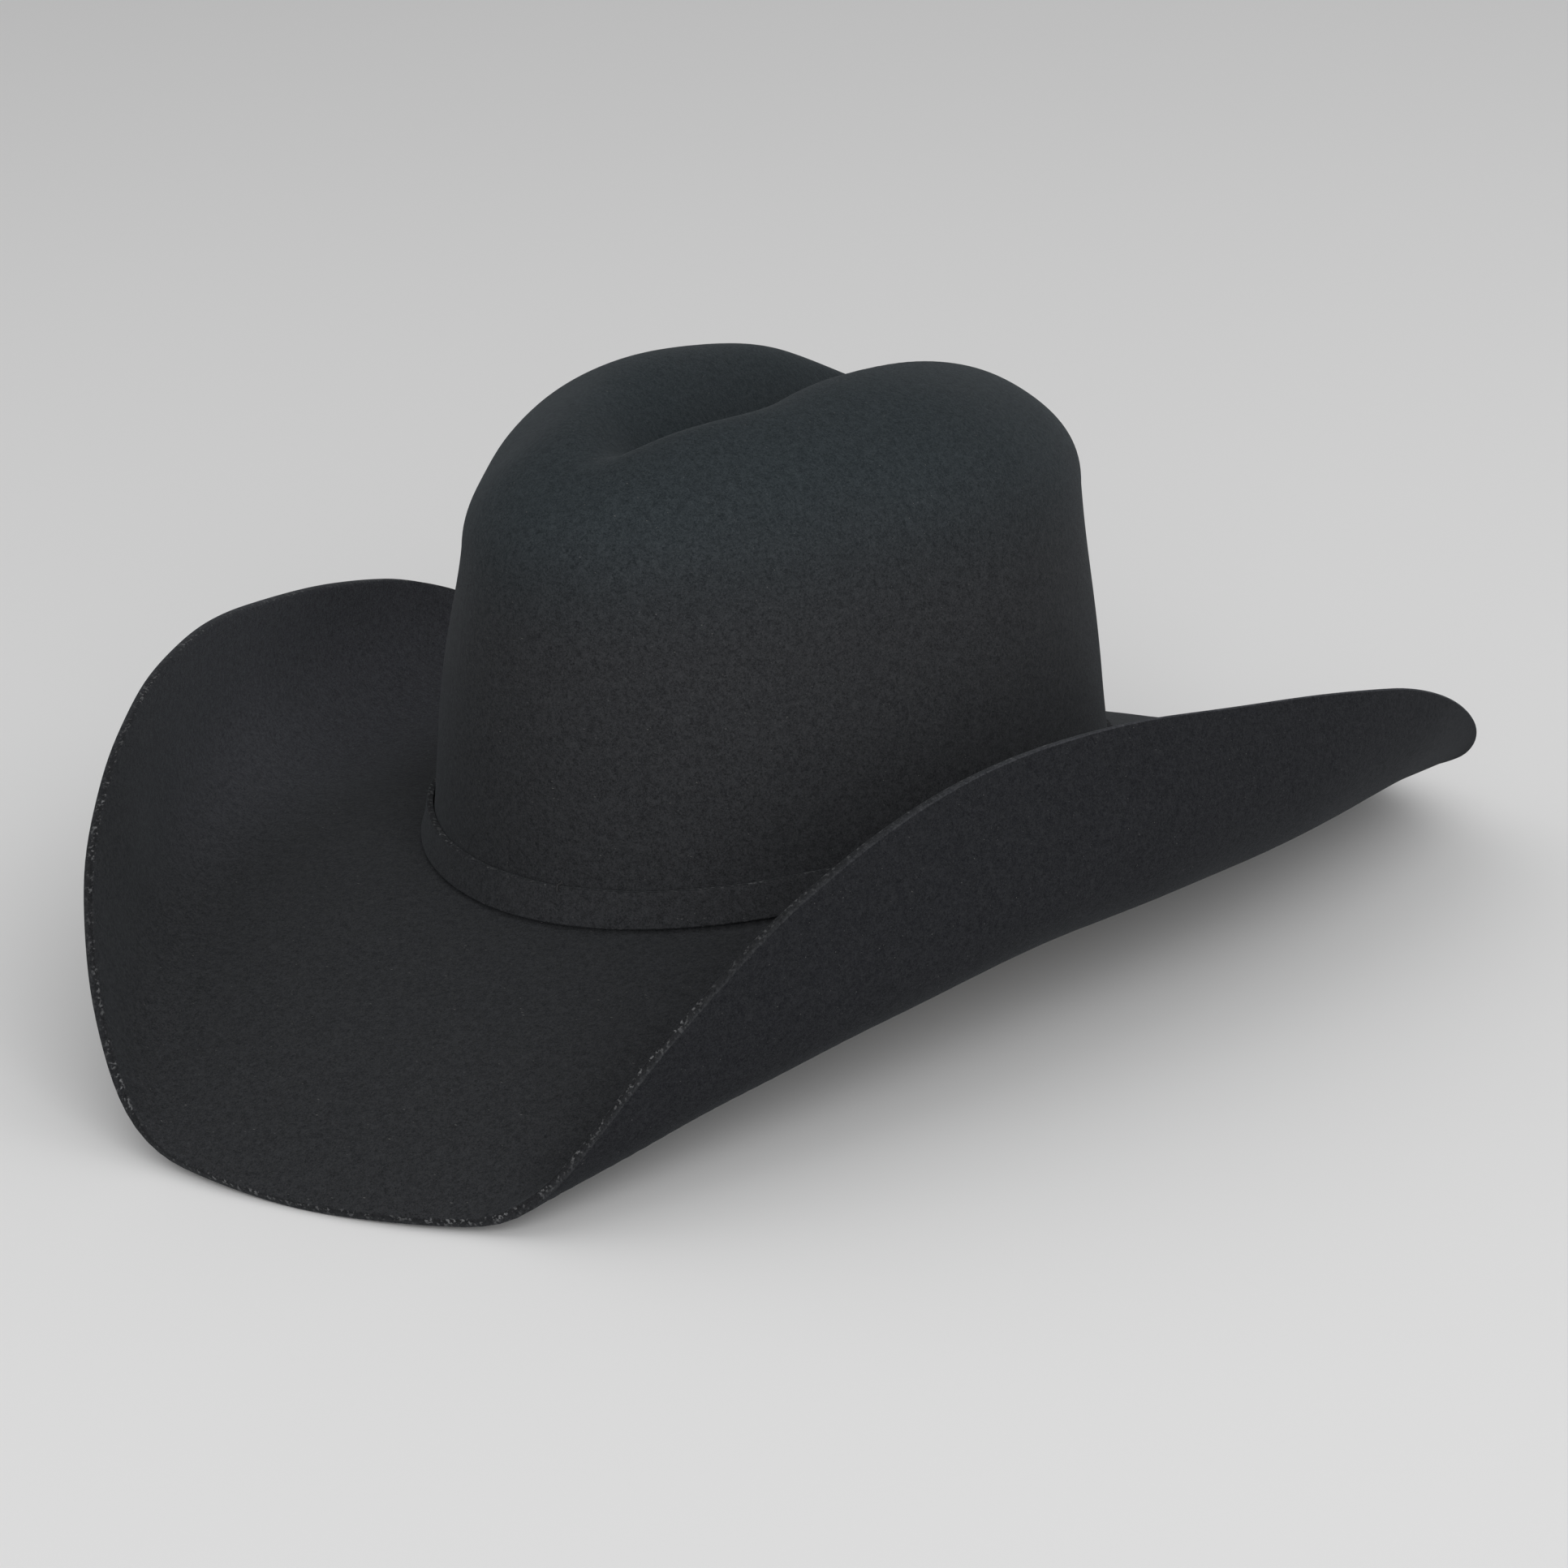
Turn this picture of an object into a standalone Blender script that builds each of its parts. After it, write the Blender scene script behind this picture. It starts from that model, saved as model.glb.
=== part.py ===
"""Western hat in black felt: a cattleman crown with a centre crease and two side dents, and a
brim with rolled sides and a dip in front and behind.

The hat is modelled in its own frame, in metres: +X is the wearer's left, -Y the front, +Z up, and
z = 0 is the top of the brim where it meets the crown. An empty, the stance, then sets it down on
the two dips of its brim, with the middle of its footprint at the origin.
"""

import math

import bmesh
import bpy
from mathutils import Matrix, Vector

MM = 0.001
GAP = 0.3 * MM  # air between two pieces that touch on the real hat

# Felt body: the crown's outer face and the brim's upper face
FELT = 2.8 * MM
HEAD_HALF_WIDTH = 92.5 * MM
HEAD_HALF_LENGTH = 106.0 * MM
BASE_FLARE = 1.95 * MM  # the wall's foot stands this much further out
FLARE_HEIGHT = 14.0 * MM
CROWN_HEIGHT = 125.6 * MM
WALL_HEIGHT = 83.3 * MM  # where the wall ends and the top starts to close
WALL_LEAN_SIDE = 0.103  # the wall moves in by this share of its height
WALL_LEAN_END = 0.024
TOP_ROUNDNESS = 2.2  # exponent of the superellipse that closes the top
# Hand shaping has left the crown a little off square
LEAN_TO_LEFT = 0.013  # of the height, above the band
LEAN_STARTS = 30.0 * MM
TOP_RISE_TO_FRONT = 0.030
TOP_RISE_TO_LEFT = -0.031

# Centre crease along the top. It deepens and widens from its front end to the rear.
CREASE_DEPTH = 27.3 * MM
CREASE_REACH = 17.6 * MM
CREASE_NARROWEST = 0.43  # share of the reach at the front end
CREASE_FRONT = 89.7 * MM
CREASE_GROWTH = 65.7 * MM
CREASE_REAR = 83.6 * MM
CREASE_RUNOUT = 45.9 * MM

# Dent in each side of the crown
DENT_DEPTH = 11.3 * MM
DENT_FORWARD = 53.1 * MM
DENT_HEIGHT = 102.2 * MM
DENT_REACH_ALONG = 49.4 * MM
DENT_REACH_UP = 48.6 * MM
DENT_FULL_AT = 50.0 * MM  # distance from the middle plane where the dent has its whole depth

# Brim, cut flat and then shaped
BRIM_SIDE = 101.9 * MM
BRIM_FRONT = 111.5 * MM
BRIM_REAR = 92.3 * MM
BRIM_CORNER_EXTRA = 4.5 * MM
# Each side rolls up. (front, middle, rear) give the values at 204 mm forward, level with the
# crown's centre, and 204 mm back.
ROLL_STATION = 203.8 * MM
ROLL_START = (45.8 * MM, 126.8 * MM, 104.8 * MM)  # distance from the middle plane
ROLL_LENGTH = (32.5 * MM, 66.2 * MM, 45.9 * MM)  # cloth length that bends
ROLL_ANGLE = (67.4, 106.7, 61.2)  # degrees turned by the end of the bend
RIGHT_ROLL_SHIFT = -1.3 * MM  # the right side starts nearer the crown and turns a little less
RIGHT_ROLL_SHARE = 0.973
ROLL_STEPS = 24
DIP_START = 45.1 * MM
FRONT_DIP, FRONT_DIP_POWER = 40.5 * MM, 1.93
REAR_DIP, REAR_DIP_POWER = 29.2 * MM, 1.71

# Mesh of the felt and of the linings that follow it
SEGMENTS = 64
BRIM_RINGS = 11
LINING_BOTTOM = 2 * MM
LINING_SEAM = WALL_HEIGHT - 1 * MM  # the side of the lining ends here, and its tip starts just above
WALL_LEVELS = (LINING_BOTTOM, 8 * MM, 14 * MM, 32 * MM, 50 * MM, 66 * MM, LINING_SEAM)
TOP_RINGS = 7

# Hat band
BAND_HEIGHT = 9.6 * MM
BAND_THICK = 1.8 * MM
BAND_BOTTOM = 0.6 * MM
TACK_RADIUS = 0.25 * MM
TACK_CLEAR = GAP + 0.1 * MM
TACK_ABOVE, TACK_BELOW = 1.2 * MM, 1.3 * MM  # how far it reaches past the band's upper edge
TACK_CORNER = 0.75  # how far out the thread stands at the band's corner, as a share of its reach
TACK_LEFT_BESIDE_BOW = math.radians(16)

# Bows: (half length, half height and half thickness at the waist, the same at the loops, strip)
BAND_BOW = (19 * MM, (3.6 * MM, 1.25 * MM), (4.8 * MM, 2.3 * MM), 0.8 * MM)
BAND_BOW_OUT = BAND_THICK + 3 * GAP + 0.8 * MM + BAND_BOW[1][1]
BAND_BOW_LEVEL = BAND_BOTTOM + BAND_HEIGHT / 2
SWEAT_BOW = (12 * MM, (1.9 * MM, 0.7 * MM), (3.9 * MM, 1.2 * MM), 0.35 * MM)
SWEAT_BOW_LEVEL = 5.0 * MM
WAIST_HALF_LENGTH = 4.0 * MM
LOOP_FLARE = 6.0 * MM
KEEPER_HALF_LENGTH = 3.4 * MM
BOW_SIDES, KEEPER_SIDES, SLEEVE_SIDES = 36, 20, 12
BOW_SQUARENESS = 0.5
KEEPER_SQUARENESS = 0.3

# Lining and shield, each at its depth inside the felt's outer face
LINING_DEPTH = FELT + GAP
LINING_THICK = 0.5 * MM
SHIELD_DEPTH = LINING_DEPTH + LINING_THICK + 1.3 * MM
SHIELD_THICK = 0.4 * MM
PIPING_RADIUS = 0.5 * MM
PIPING_SIDES = 5

# Sweatband and what is on it
SWEAT_DEPTH = 4.7 * MM
SWEAT_THICK = 1.1 * MM
SWEAT_TOP = 42.0 * MM
SWEAT_BOTTOM = -3.4 * MM
SWEAT_LEVELS = (SWEAT_TOP, 21.0 * MM, 10.0 * MM, SWEAT_BOTTOM)
SWEAT_LEAN = 1.6 * MM  # how far the free upper edge stands further in
SEAM_TAPE_WIDTH = 12.0 * MM
SEAM_TAPE_THICK = 0.3 * MM
BEHIND_SWEAT = SWEAT_DEPTH - 0.7 * MM  # depth of the pieces between the sweatband and the lining
LABEL_WIDTH, LABEL_HEIGHT = 26.0 * MM, 12.0 * MM
LABEL_BOTTOM = 12.0 * MM
LABEL_THICK = 0.2 * MM
LABEL_ANGLE = math.radians(68)

# Reed in the sweatband's lower edge
REED_RADIUS = 0.9 * MM
REED_LEVEL = -5.7 * MM
REED_DEPTH = SWEAT_DEPTH + SWEAT_THICK / 2
REED_GAP = math.radians(1.0)  # half the angle left open between the reed's ends
REED_POINTS = 64
REED_CLEAR = 0.5 * MM  # between the reed and the tape or sleeve round it
SLEEVE_REACH = math.radians(3.2)
TAPE_REACH = math.radians(4.6)  # the tape stops short of the sleeve
TAPE_THICK = 0.4 * MM
TAPE_MOUTH = math.radians(50)  # half the angle of the slot that the sweatband goes into

LEFT, FRONT, RIGHT, REAR = 0.0, math.radians(270), math.radians(180), math.radians(90)


# ---------------------------------------------------------------- shape of the felt

def smooth(t):
    t = min(max(t, 0.0), 1.0)
    return t * t * (3 - 2 * t)


def through(stations, y):
    """The parabola through a roll's front, middle and rear values, read at y."""
    front, middle, rear = stations
    n = -y / ROLL_STATION
    return middle + (front - rear) / 2 * n + ((front + rear) / 2 - middle) * n * n


def dip(y):
    """How far the brim has dropped at y, in front of the crown or behind it."""
    ahead = (-y - DIP_START) / (HEAD_HALF_LENGTH + BRIM_FRONT - DIP_START)
    behind = (y - DIP_START) / (HEAD_HALF_LENGTH + BRIM_REAR - DIP_START)
    return FRONT_DIP * max(ahead, 0) ** FRONT_DIP_POWER + REAR_DIP * max(behind, 0) ** REAR_DIP_POWER


def shaped_brim(x, y):
    """Where a point of the flat brim goes when the sides are rolled up and the ends dip."""
    start, length = through(ROLL_START, y), through(ROLL_LENGTH, y)
    angle = math.radians(through(ROLL_ANGLE, y))
    if x < 0:
        start += RIGHT_ROLL_SHIFT
        angle *= RIGHT_ROLL_SHARE
    step = max(abs(x) - start, 0) / ROLL_STEPS
    out, up = min(abs(x), start), 0.0
    for i in range(ROLL_STEPS):
        turned = angle * smooth((i + 0.5) * step / length)
        out += step * math.cos(turned)
        up += step * math.sin(turned)
    return Vector((math.copysign(out, x), y, up - dip(y)))


def brim_point(theta, share):
    """A point of the brim, at share 0 by the crown and 1 at the cut edge."""
    c, s = math.cos(theta), math.sin(theta)
    outward = Vector((c / HEAD_HALF_WIDTH, s / HEAD_HALF_LENGTH)).normalized()
    width = BRIM_SIDE + BRIM_CORNER_EXTRA * math.sin(2 * theta) ** 2
    width += ((BRIM_FRONT if s < 0 else BRIM_REAR) - BRIM_SIDE) * s * s
    return shaped_brim(
        HEAD_HALF_WIDTH * c + outward.x * width * share,
        HEAD_HALF_LENGTH * s + outward.y * width * share,
    )


def share_of(value, whole):
    """value / whole, kept between 0 and 1."""
    return min(max(value / whole, 0), 1)


def dent(x, y, z):
    """How far a side of the crown is pressed in."""
    along = (-y - DENT_FORWARD) / DENT_REACH_ALONG
    up = (z - DENT_HEIGHT) / DENT_REACH_UP
    return DENT_DEPTH * math.exp(-along * along - up * up) * smooth(abs(x) / DENT_FULL_AT)


def crease(x, y):
    """How far the top of the crown is pressed down."""
    grown = smooth((CREASE_FRONT + y) / CREASE_GROWTH)
    reach = CREASE_REACH * (CREASE_NARROWEST + (1 - CREASE_NARROWEST) * grown)
    depth = CREASE_DEPTH * grown * smooth((CREASE_REAR - y) / CREASE_RUNOUT + 0.5)
    return depth * math.exp(-((x / reach) ** 2))


def crown_point(theta, radius, z):
    """A point of the crown: radius 1 is the wall, and 0 the middle of the top."""
    c, s = math.cos(theta), math.sin(theta)
    lean = min(z, WALL_HEIGHT)
    foot = share_of(z, FLARE_HEIGHT)
    flare = BASE_FLARE * foot * (2 - foot)
    x = (HEAD_HALF_WIDTH - WALL_LEAN_SIDE * lean - flare) * radius * c
    y = (HEAD_HALF_LENGTH - WALL_LEAN_END * lean - flare) * radius * s
    drop = dip(HEAD_HALF_LENGTH * s) * (1 - share_of(z, CROWN_HEIGHT))
    x += LEAN_TO_LEFT * z * share_of(z, LEAN_STARTS)
    z += (TOP_RISE_TO_LEFT * x - TOP_RISE_TO_FRONT * y) * (z / CROWN_HEIGHT) ** 2
    x -= math.copysign(dent(x, y, z), x)
    return Vector((x, y, z - crease(x, y) - drop))


def wall_point(theta, z, out):
    """A point beside the crown's wall, out from its outer face. Inside, out is negative."""
    step = 1e-4
    here = crown_point(theta, 1, z)
    side = crown_point(theta + step, 1, z) - here
    rise = crown_point(theta, 1, z + MM) - here
    return here + out * side.cross(rise).normalized()


# ---------------------------------------------------------------- tools

def clear_scene():
    for obj in list(bpy.data.objects):
        bpy.data.objects.remove(obj, do_unlink=True)


def material(name, colour, roughness, metallic=0.0):
    made = bpy.data.materials.new(name)
    made.use_nodes = True
    shader = made.node_tree.nodes["Principled BSDF"]
    shader.inputs["Base Color"].default_value = (*colour, 1)
    shader.inputs["Roughness"].default_value = roughness
    shader.inputs["Metallic"].default_value = metallic
    made.diffuse_color = (*colour, 1)
    return made


def add(name, data, look):
    obj = bpy.data.objects.new(name, data)
    HAT.objects.link(obj)
    data.materials.clear()
    data.materials.append(look)
    return obj


def mesh_object(name, bm, look, thick=0.0):
    """An object from bm. With a thickness, bm is an open sheet that thickens away from its normals."""
    mesh = bpy.data.meshes.new(name)
    bm.to_mesh(mesh)
    bm.free()
    mesh.shade_smooth()
    mesh.set_sharp_from_angle(angle=math.radians(40))
    obj = add(name, mesh, look)
    if thick:
        split = obj.modifiers.new("triangles", "TRIANGULATE")
        split.quad_method = "SHORTEST_DIAGONAL"
        solidify = obj.modifiers.new("thickness", "SOLIDIFY")
        solidify.thickness = thick
        solidify.offset = -1
        solidify.use_even_offset = True
    return obj


def turned(profile, segments, closed=False):
    """The points (radius, z) of profile turned round the Z axis, as a bmesh."""
    mesh = bpy.data.meshes.new("profile")
    edges = [(i, i + 1) for i in range(len(profile) - 1)]
    if closed:
        edges.append((len(profile) - 1, 0))
    mesh.from_pydata([(r, 0, z) for r, z in profile], edges, [])
    obj = bpy.data.objects.new("profile", mesh)
    bpy.context.scene.collection.objects.link(obj)
    screw = obj.modifiers.new("turn", "SCREW")
    screw.steps = screw.render_steps = segments
    screw.use_merge_vertices = True
    screw.merge_threshold = 1e-6
    graph = bpy.context.evaluated_depsgraph_get()
    bm = bmesh.new()
    bm.from_object(obj, graph)
    bpy.data.objects.remove(obj, do_unlink=True)
    bpy.data.meshes.remove(mesh)
    return bm


def placed_grid(across, along, place):
    """A grid of across by along cells whose corners go to place(u, v), with u and v from 0 to 1."""
    bm = bmesh.new()
    bmesh.ops.create_grid(bm, x_segments=across, y_segments=along, size=0.5)
    for vert in bm.verts:
        vert.co = place(vert.co.x + 0.5, vert.co.y + 0.5)
    bm.normal_update()
    return bm


def wire(name, points, radius, look, resolution=2):
    curve = bpy.data.curves.new(name, "CURVE")
    curve.dimensions = "3D"
    curve.bevel_depth = radius
    curve.bevel_resolution = resolution
    curve.use_fill_caps = True
    spline = curve.splines.new("POLY")
    spline.points.add(len(points) - 1)
    for target, point in zip(spline.points, points):
        target.co = (*point, 1)
    return add(name, curve, look)


def ring(name, profile, look, segments=SEGMENTS):
    """A closed ring beside the crown's wall. profile holds (out, z), down its outer side first."""
    hoop = 2 * max(HEAD_HALF_WIDTH, HEAD_HALF_LENGTH)
    bm = turned([(hoop + out, z) for out, z in profile], segments, closed=True)
    for vert in bm.verts:
        theta = math.atan2(vert.co.y, vert.co.x)
        vert.co = wall_point(theta, vert.co.z, vert.co.xy.length - hoop)
    return mesh_object(name, bm, look)


# ---------------------------------------------------------------- felt body and its linings

def hood_profile():
    """Half section of the unshaped hood, from the middle of the top to the brim's edge."""
    points = []
    for i in range(TOP_RINGS + 1):
        t = math.pi / 2 * (1 - i / TOP_RINGS)
        power = 2 / TOP_ROUNDNESS
        rise = (CROWN_HEIGHT - WALL_HEIGHT) * math.sin(t) ** power
        points.append((max(math.cos(t), 0) ** power, WALL_HEIGHT + rise))
    points += [(1, z) for z in reversed(WALL_LEVELS)]
    points += [(1 + i / BRIM_RINGS, 0) for i in range(BRIM_RINGS + 1)]
    return points


def blocked_hood(depth=0.0, keep=None):
    """The hood shaped over its block, moved in by depth. keep(radius, z) picks the rings it keeps."""
    bm = turned(hood_profile(), SEGMENTS)
    surplus = []
    for vert in bm.verts:
        radius, z = vert.co.xy.length, vert.co.z
        theta = math.atan2(vert.co.y, vert.co.x)
        if keep and not keep(radius, z):
            surplus.append(vert)
        vert.co = brim_point(theta, radius - 1) if z == 0 else crown_point(theta, radius, z)
    bm.normal_update()
    moved = [(v, v.co - v.normal * depth * v.calc_shell_factor()) for v in bm.verts]
    for vert, place in moved:
        vert.co = place
    bmesh.ops.delete(bm, geom=surplus, context="VERTS")
    return bm


def felt_body():
    return mesh_object("felt_body", blocked_hood(), FELT_LOOK, FELT)


def lining_side():
    bm = blocked_hood(LINING_DEPTH, lambda radius, z: LINING_BOTTOM * 0.99 <= z <= LINING_SEAM * 1.001)
    return mesh_object("lining_side", bm, SATIN, LINING_THICK)


def lining_tip():
    bm = blocked_hood(LINING_DEPTH, lambda radius, z: z >= WALL_HEIGHT * 0.999)
    return mesh_object("lining_tip", bm, SATIN, LINING_THICK)


def tip_shield():
    edge = hood_profile()[TOP_RINGS - 3][1]
    bm = blocked_hood(SHIELD_DEPTH, lambda radius, z: z >= edge * 0.999)
    return mesh_object("tip_shield", bm, CLEAR, SHIELD_THICK)


def round_profile(out, z, radius, sides):
    """A circle of the (out, z) plane, going down its outer side first."""
    turn = 2 * math.pi / sides
    return [(out + radius * math.cos(i * turn), z - radius * math.sin(i * turn)) for i in range(sides)]


def lining_piping():
    depth = LINING_DEPTH + LINING_THICK + GAP + PIPING_RADIUS
    level = (LINING_SEAM + WALL_HEIGHT) / 2
    return ring("lining_piping", round_profile(-depth, level, PIPING_RADIUS, PIPING_SIDES), SATIN)


# ---------------------------------------------------------------- hat band

def hat_band():
    inside, outside = GAP, GAP + BAND_THICK
    bottom, top = BAND_BOTTOM, BAND_BOTTOM + BAND_HEIGHT
    profile = [(outside, top), (outside, bottom), (inside, bottom), (inside, top)]
    return ring("hat_band", profile, BAND_LOOK)


def band_tack(name, theta):
    """A thread stitch from the felt over the band's upper edge and down its face."""
    top, face = BAND_BOTTOM + BAND_HEIGHT, GAP + BAND_THICK
    reach = TACK_CLEAR + TACK_RADIUS
    path = (
        (top + TACK_ABOVE, reach),
        (top + reach, face / 2),
        (top + reach * TACK_CORNER, face + reach * TACK_CORNER),
        (top - TACK_BELOW, face + reach),
    )
    return wire(name, [wall_point(theta, z, out) for z, out in path], TACK_RADIUS, THREAD)


def open_tube(sides, place):
    """A tube with open ends. place(angle, end) sets its corners, with end -1 or 1."""
    bm = bmesh.new()
    bmesh.ops.create_cone(
        bm, cap_ends=False, segments=sides, radius1=1, radius2=1, depth=2, calc_uvs=False
    )
    for vert in bm.verts:
        vert.co = place(math.atan2(vert.co.y, vert.co.x), math.copysign(1, vert.co.z))
    bm.normal_update()
    return bm


def beside_wall(theta, half_axis):
    """place(along, z, out) near theta, with along measured round the wall."""
    return lambda along, z, out: wall_point(theta + along / half_axis, z, out)


def squared(value, power):
    return math.copysign(abs(value) ** power, value)


def bow(name, sizes, place, level, out, look):
    """A flat bow of two loops, from a strip that runs right round and is pinched at the waist."""
    half_length, waist, loops, strip = sizes

    def corner(angle, end):
        along = half_length * math.cos(angle)
        flare = smooth((abs(along) - WAIST_HALF_LENGTH) / LOOP_FLARE)
        height = waist[0] + (loops[0] - waist[0]) * flare
        thick = waist[1] + (loops[1] - waist[1]) * flare
        return place(along, level + end * height, out - thick * squared(math.sin(angle), BOW_SQUARENESS))

    return mesh_object(name, open_tube(BOW_SIDES, corner), look, strip)


def keeper(name, sizes, place, level, out, look):
    """The short strip wrapped over and under the bow's waist."""
    _, waist, _, strip = sizes
    half_height, half_thick = waist[0] + GAP + strip, waist[1] + GAP + strip

    def corner(angle, end):
        return place(
            -end * KEEPER_HALF_LENGTH,
            level + half_height * squared(math.sin(angle), KEEPER_SQUARENESS),
            out + half_thick * squared(math.cos(angle), KEEPER_SQUARENESS),
        )

    return mesh_object(name, open_tube(KEEPER_SIDES, corner), look, strip)


def band_trim():
    place = beside_wall(LEFT, HEAD_HALF_LENGTH)
    bow("band_bow", BAND_BOW, place, BAND_BOW_LEVEL, BAND_BOW_OUT, BAND_LOOK)
    keeper("band_keeper", BAND_BOW, place, BAND_BOW_LEVEL, BAND_BOW_OUT, BAND_LOOK)
    band_tack("band_tack_front", FRONT)
    band_tack("band_tack_right", RIGHT)
    band_tack("band_tack_rear", REAR)
    band_tack("band_tack_left", LEFT + TACK_LEFT_BESIDE_BOW)


# ---------------------------------------------------------------- sweatband

def sweat_depth(z):
    """Depth of the sweatband's outer face, which leans in towards its free upper edge."""
    return SWEAT_DEPTH + SWEAT_LEAN * (max(z, 0) / SWEAT_TOP) ** 2


def sweatband():
    outer = [(-sweat_depth(z), z) for z in SWEAT_LEVELS]
    inner = [(-sweat_depth(z) - SWEAT_THICK, z) for z in reversed(SWEAT_LEVELS)]
    return ring("sweatband", outer + inner, LEATHER)


def reed_point(theta, angle=0.0, radius=0.0):
    """A point round the reed, with the angle measured from the top towards the outside."""
    z = REED_LEVEL + radius * math.cos(angle)
    return wall_point(theta, z, -REED_DEPTH + radius * math.sin(angle))


def reed():
    first, last = REAR + REED_GAP, REAR + 2 * math.pi - REED_GAP
    turn = (last - first) / (REED_POINTS - 1)
    points = [reed_point(first + i * turn) for i in range(REED_POINTS)]
    return wire("sweatband_reed", points, REED_RADIUS, REED_LOOK, resolution=1)


def reed_tape():
    first, last = REAR + TAPE_REACH, REAR + 2 * math.pi - TAPE_REACH
    radius = REED_RADIUS + REED_CLEAR + TAPE_THICK

    def corner(u, v):
        angle = TAPE_MOUTH + u * 2 * (math.pi - TAPE_MOUTH)
        return reed_point(first + v * (last - first), angle, radius)

    return mesh_object("reed_tape", placed_grid(4, SEGMENTS, corner), TAPE_LOOK, TAPE_THICK)


def reed_sleeve():
    radius = REED_RADIUS + REED_CLEAR + TAPE_THICK

    def corner(angle, end):
        return reed_point(REAR - end * SLEEVE_REACH, math.pi / 2 - angle, radius)

    return mesh_object("reed_sleeve", open_tube(SLEEVE_SIDES, corner), REED_LOOK, TAPE_THICK)


def flat_strip(name, theta, width, bottom, top, thick, look):
    """A strip that lies behind the sweatband."""
    half_axis = HEAD_HALF_WIDTH if theta == REAR else HEAD_HALF_LENGTH
    place = beside_wall(theta, half_axis)

    def corner(u, v):
        return place((u - 0.5) * width, bottom + v * (top - bottom), -BEHIND_SWEAT)

    return mesh_object(name, placed_grid(4, 4, corner), look, thick)


def sweatband_trim():
    reed()
    reed_tape()
    reed_sleeve()
    flat_strip(
        "sweatband_seam_tape", REAR, SEAM_TAPE_WIDTH, 0, SWEAT_TOP - 2 * MM, SEAM_TAPE_THICK, TAPE_LOOK
    )
    flat_strip(
        "size_label", LABEL_ANGLE, LABEL_WIDTH, LABEL_BOTTOM, LABEL_BOTTOM + LABEL_HEIGHT,
        LABEL_THICK, PAPER,
    )
    place = beside_wall(REAR, HEAD_HALF_WIDTH)
    strip = SWEAT_BOW[3]
    out = -(SWEAT_DEPTH + SWEAT_THICK + 3 * GAP + strip + SWEAT_BOW[1][1])
    bow("sweatband_bow", SWEAT_BOW, place, SWEAT_BOW_LEVEL, out, RIBBON)
    keeper("sweatband_bow_knot", SWEAT_BOW, place, SWEAT_BOW_LEVEL, out, RIBBON)


# ---------------------------------------------------------------- stance

def evaluated_points(obj):
    graph = bpy.context.evaluated_depsgraph_get()
    mesh = obj.evaluated_get(graph).to_mesh()
    return [vert.co.copy() for vert in mesh.vertices]


def set_down(felt):
    """Pitches the hat until its front and rear dips both touch z = 0, and centres it over the origin."""
    points = evaluated_points(felt)
    front = min((p for p in points if p.y < 0), key=lambda p: p.z)
    rear = min((p for p in points if p.y > 0), key=lambda p: p.z)
    pitch = -math.atan2(rear.z - front.z, rear.y - front.y)
    turn = Matrix.Rotation(pitch, 4, "X")
    placed = [turn @ p for p in points]
    low = min(p.z for p in placed)
    middle = (min(p.y for p in placed) + max(p.y for p in placed)) / 2
    stance = bpy.data.objects.new("stance", None)
    HAT.objects.link(stance)
    stance.rotation_euler.x = pitch
    stance.location = (0, -middle, -low)
    for obj in HAT.objects:
        if obj != stance:
            obj.parent = stance


clear_scene()
HAT = bpy.data.collections.new("cowboy_hat")
bpy.context.scene.collection.children.link(HAT)

FELT_LOOK = material("black_felt", (0.022, 0.023, 0.026), 0.95)
BAND_LOOK = material("black_band_felt", (0.019, 0.020, 0.022), 0.95)
THREAD = material("black_thread", (0.015, 0.015, 0.016), 0.7)
LEATHER = material("brown_leather", (0.16, 0.075, 0.035), 0.5)
REED_LOOK = material("reed_plastic", (0.55, 0.53, 0.48), 0.4)
TAPE_LOOK = material("reed_tape_cotton", (0.03, 0.028, 0.027), 0.85)
RIBBON = material("satin_ribbon", (0.02, 0.02, 0.022), 0.4)
SATIN = material("champagne_satin", (0.55, 0.48, 0.38), 0.35)
CLEAR = material("clear_film", (0.85, 0.86, 0.86), 0.08)
PAPER = material("label_paper", (0.75, 0.73, 0.68), 0.8)

body = felt_body()
lining_side()
lining_tip()
lining_piping()
tip_shield()
hat_band()
band_trim()
sweatband()
sweatband_trim()
set_down(body)
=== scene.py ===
import math

import bmesh
import bpy
import numpy as np
from mathutils import Matrix, Vector


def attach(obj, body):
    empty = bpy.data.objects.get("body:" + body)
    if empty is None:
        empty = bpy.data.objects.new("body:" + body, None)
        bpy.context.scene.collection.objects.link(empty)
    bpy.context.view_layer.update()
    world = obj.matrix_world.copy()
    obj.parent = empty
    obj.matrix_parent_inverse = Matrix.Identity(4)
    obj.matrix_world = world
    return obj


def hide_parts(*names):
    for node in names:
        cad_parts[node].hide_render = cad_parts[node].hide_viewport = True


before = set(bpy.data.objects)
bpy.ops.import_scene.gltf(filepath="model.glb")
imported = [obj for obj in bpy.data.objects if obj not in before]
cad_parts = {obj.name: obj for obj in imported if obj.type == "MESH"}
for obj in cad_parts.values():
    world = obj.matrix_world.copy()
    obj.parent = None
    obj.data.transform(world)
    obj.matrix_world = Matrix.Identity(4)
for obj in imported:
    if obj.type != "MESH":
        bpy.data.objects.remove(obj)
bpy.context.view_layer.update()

MM = 0.001
LEFT, REAR, RIGHT, FRONT = 0.0, math.pi / 2, math.pi, 3 * math.pi / 2
TURN = 2 * math.pi

# ---------------------------------------------------------------- the hat's driving dimensions
# +X is the wearer's left, -Y the front, and z = 0 is the top of the brim where it meets the crown.
# set_down() then stands the hat on its brim. Of the values that the CAD model has too, three differ
# from it: the satin's thickness, the piping's radius and the number of steps in a roll.

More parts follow.
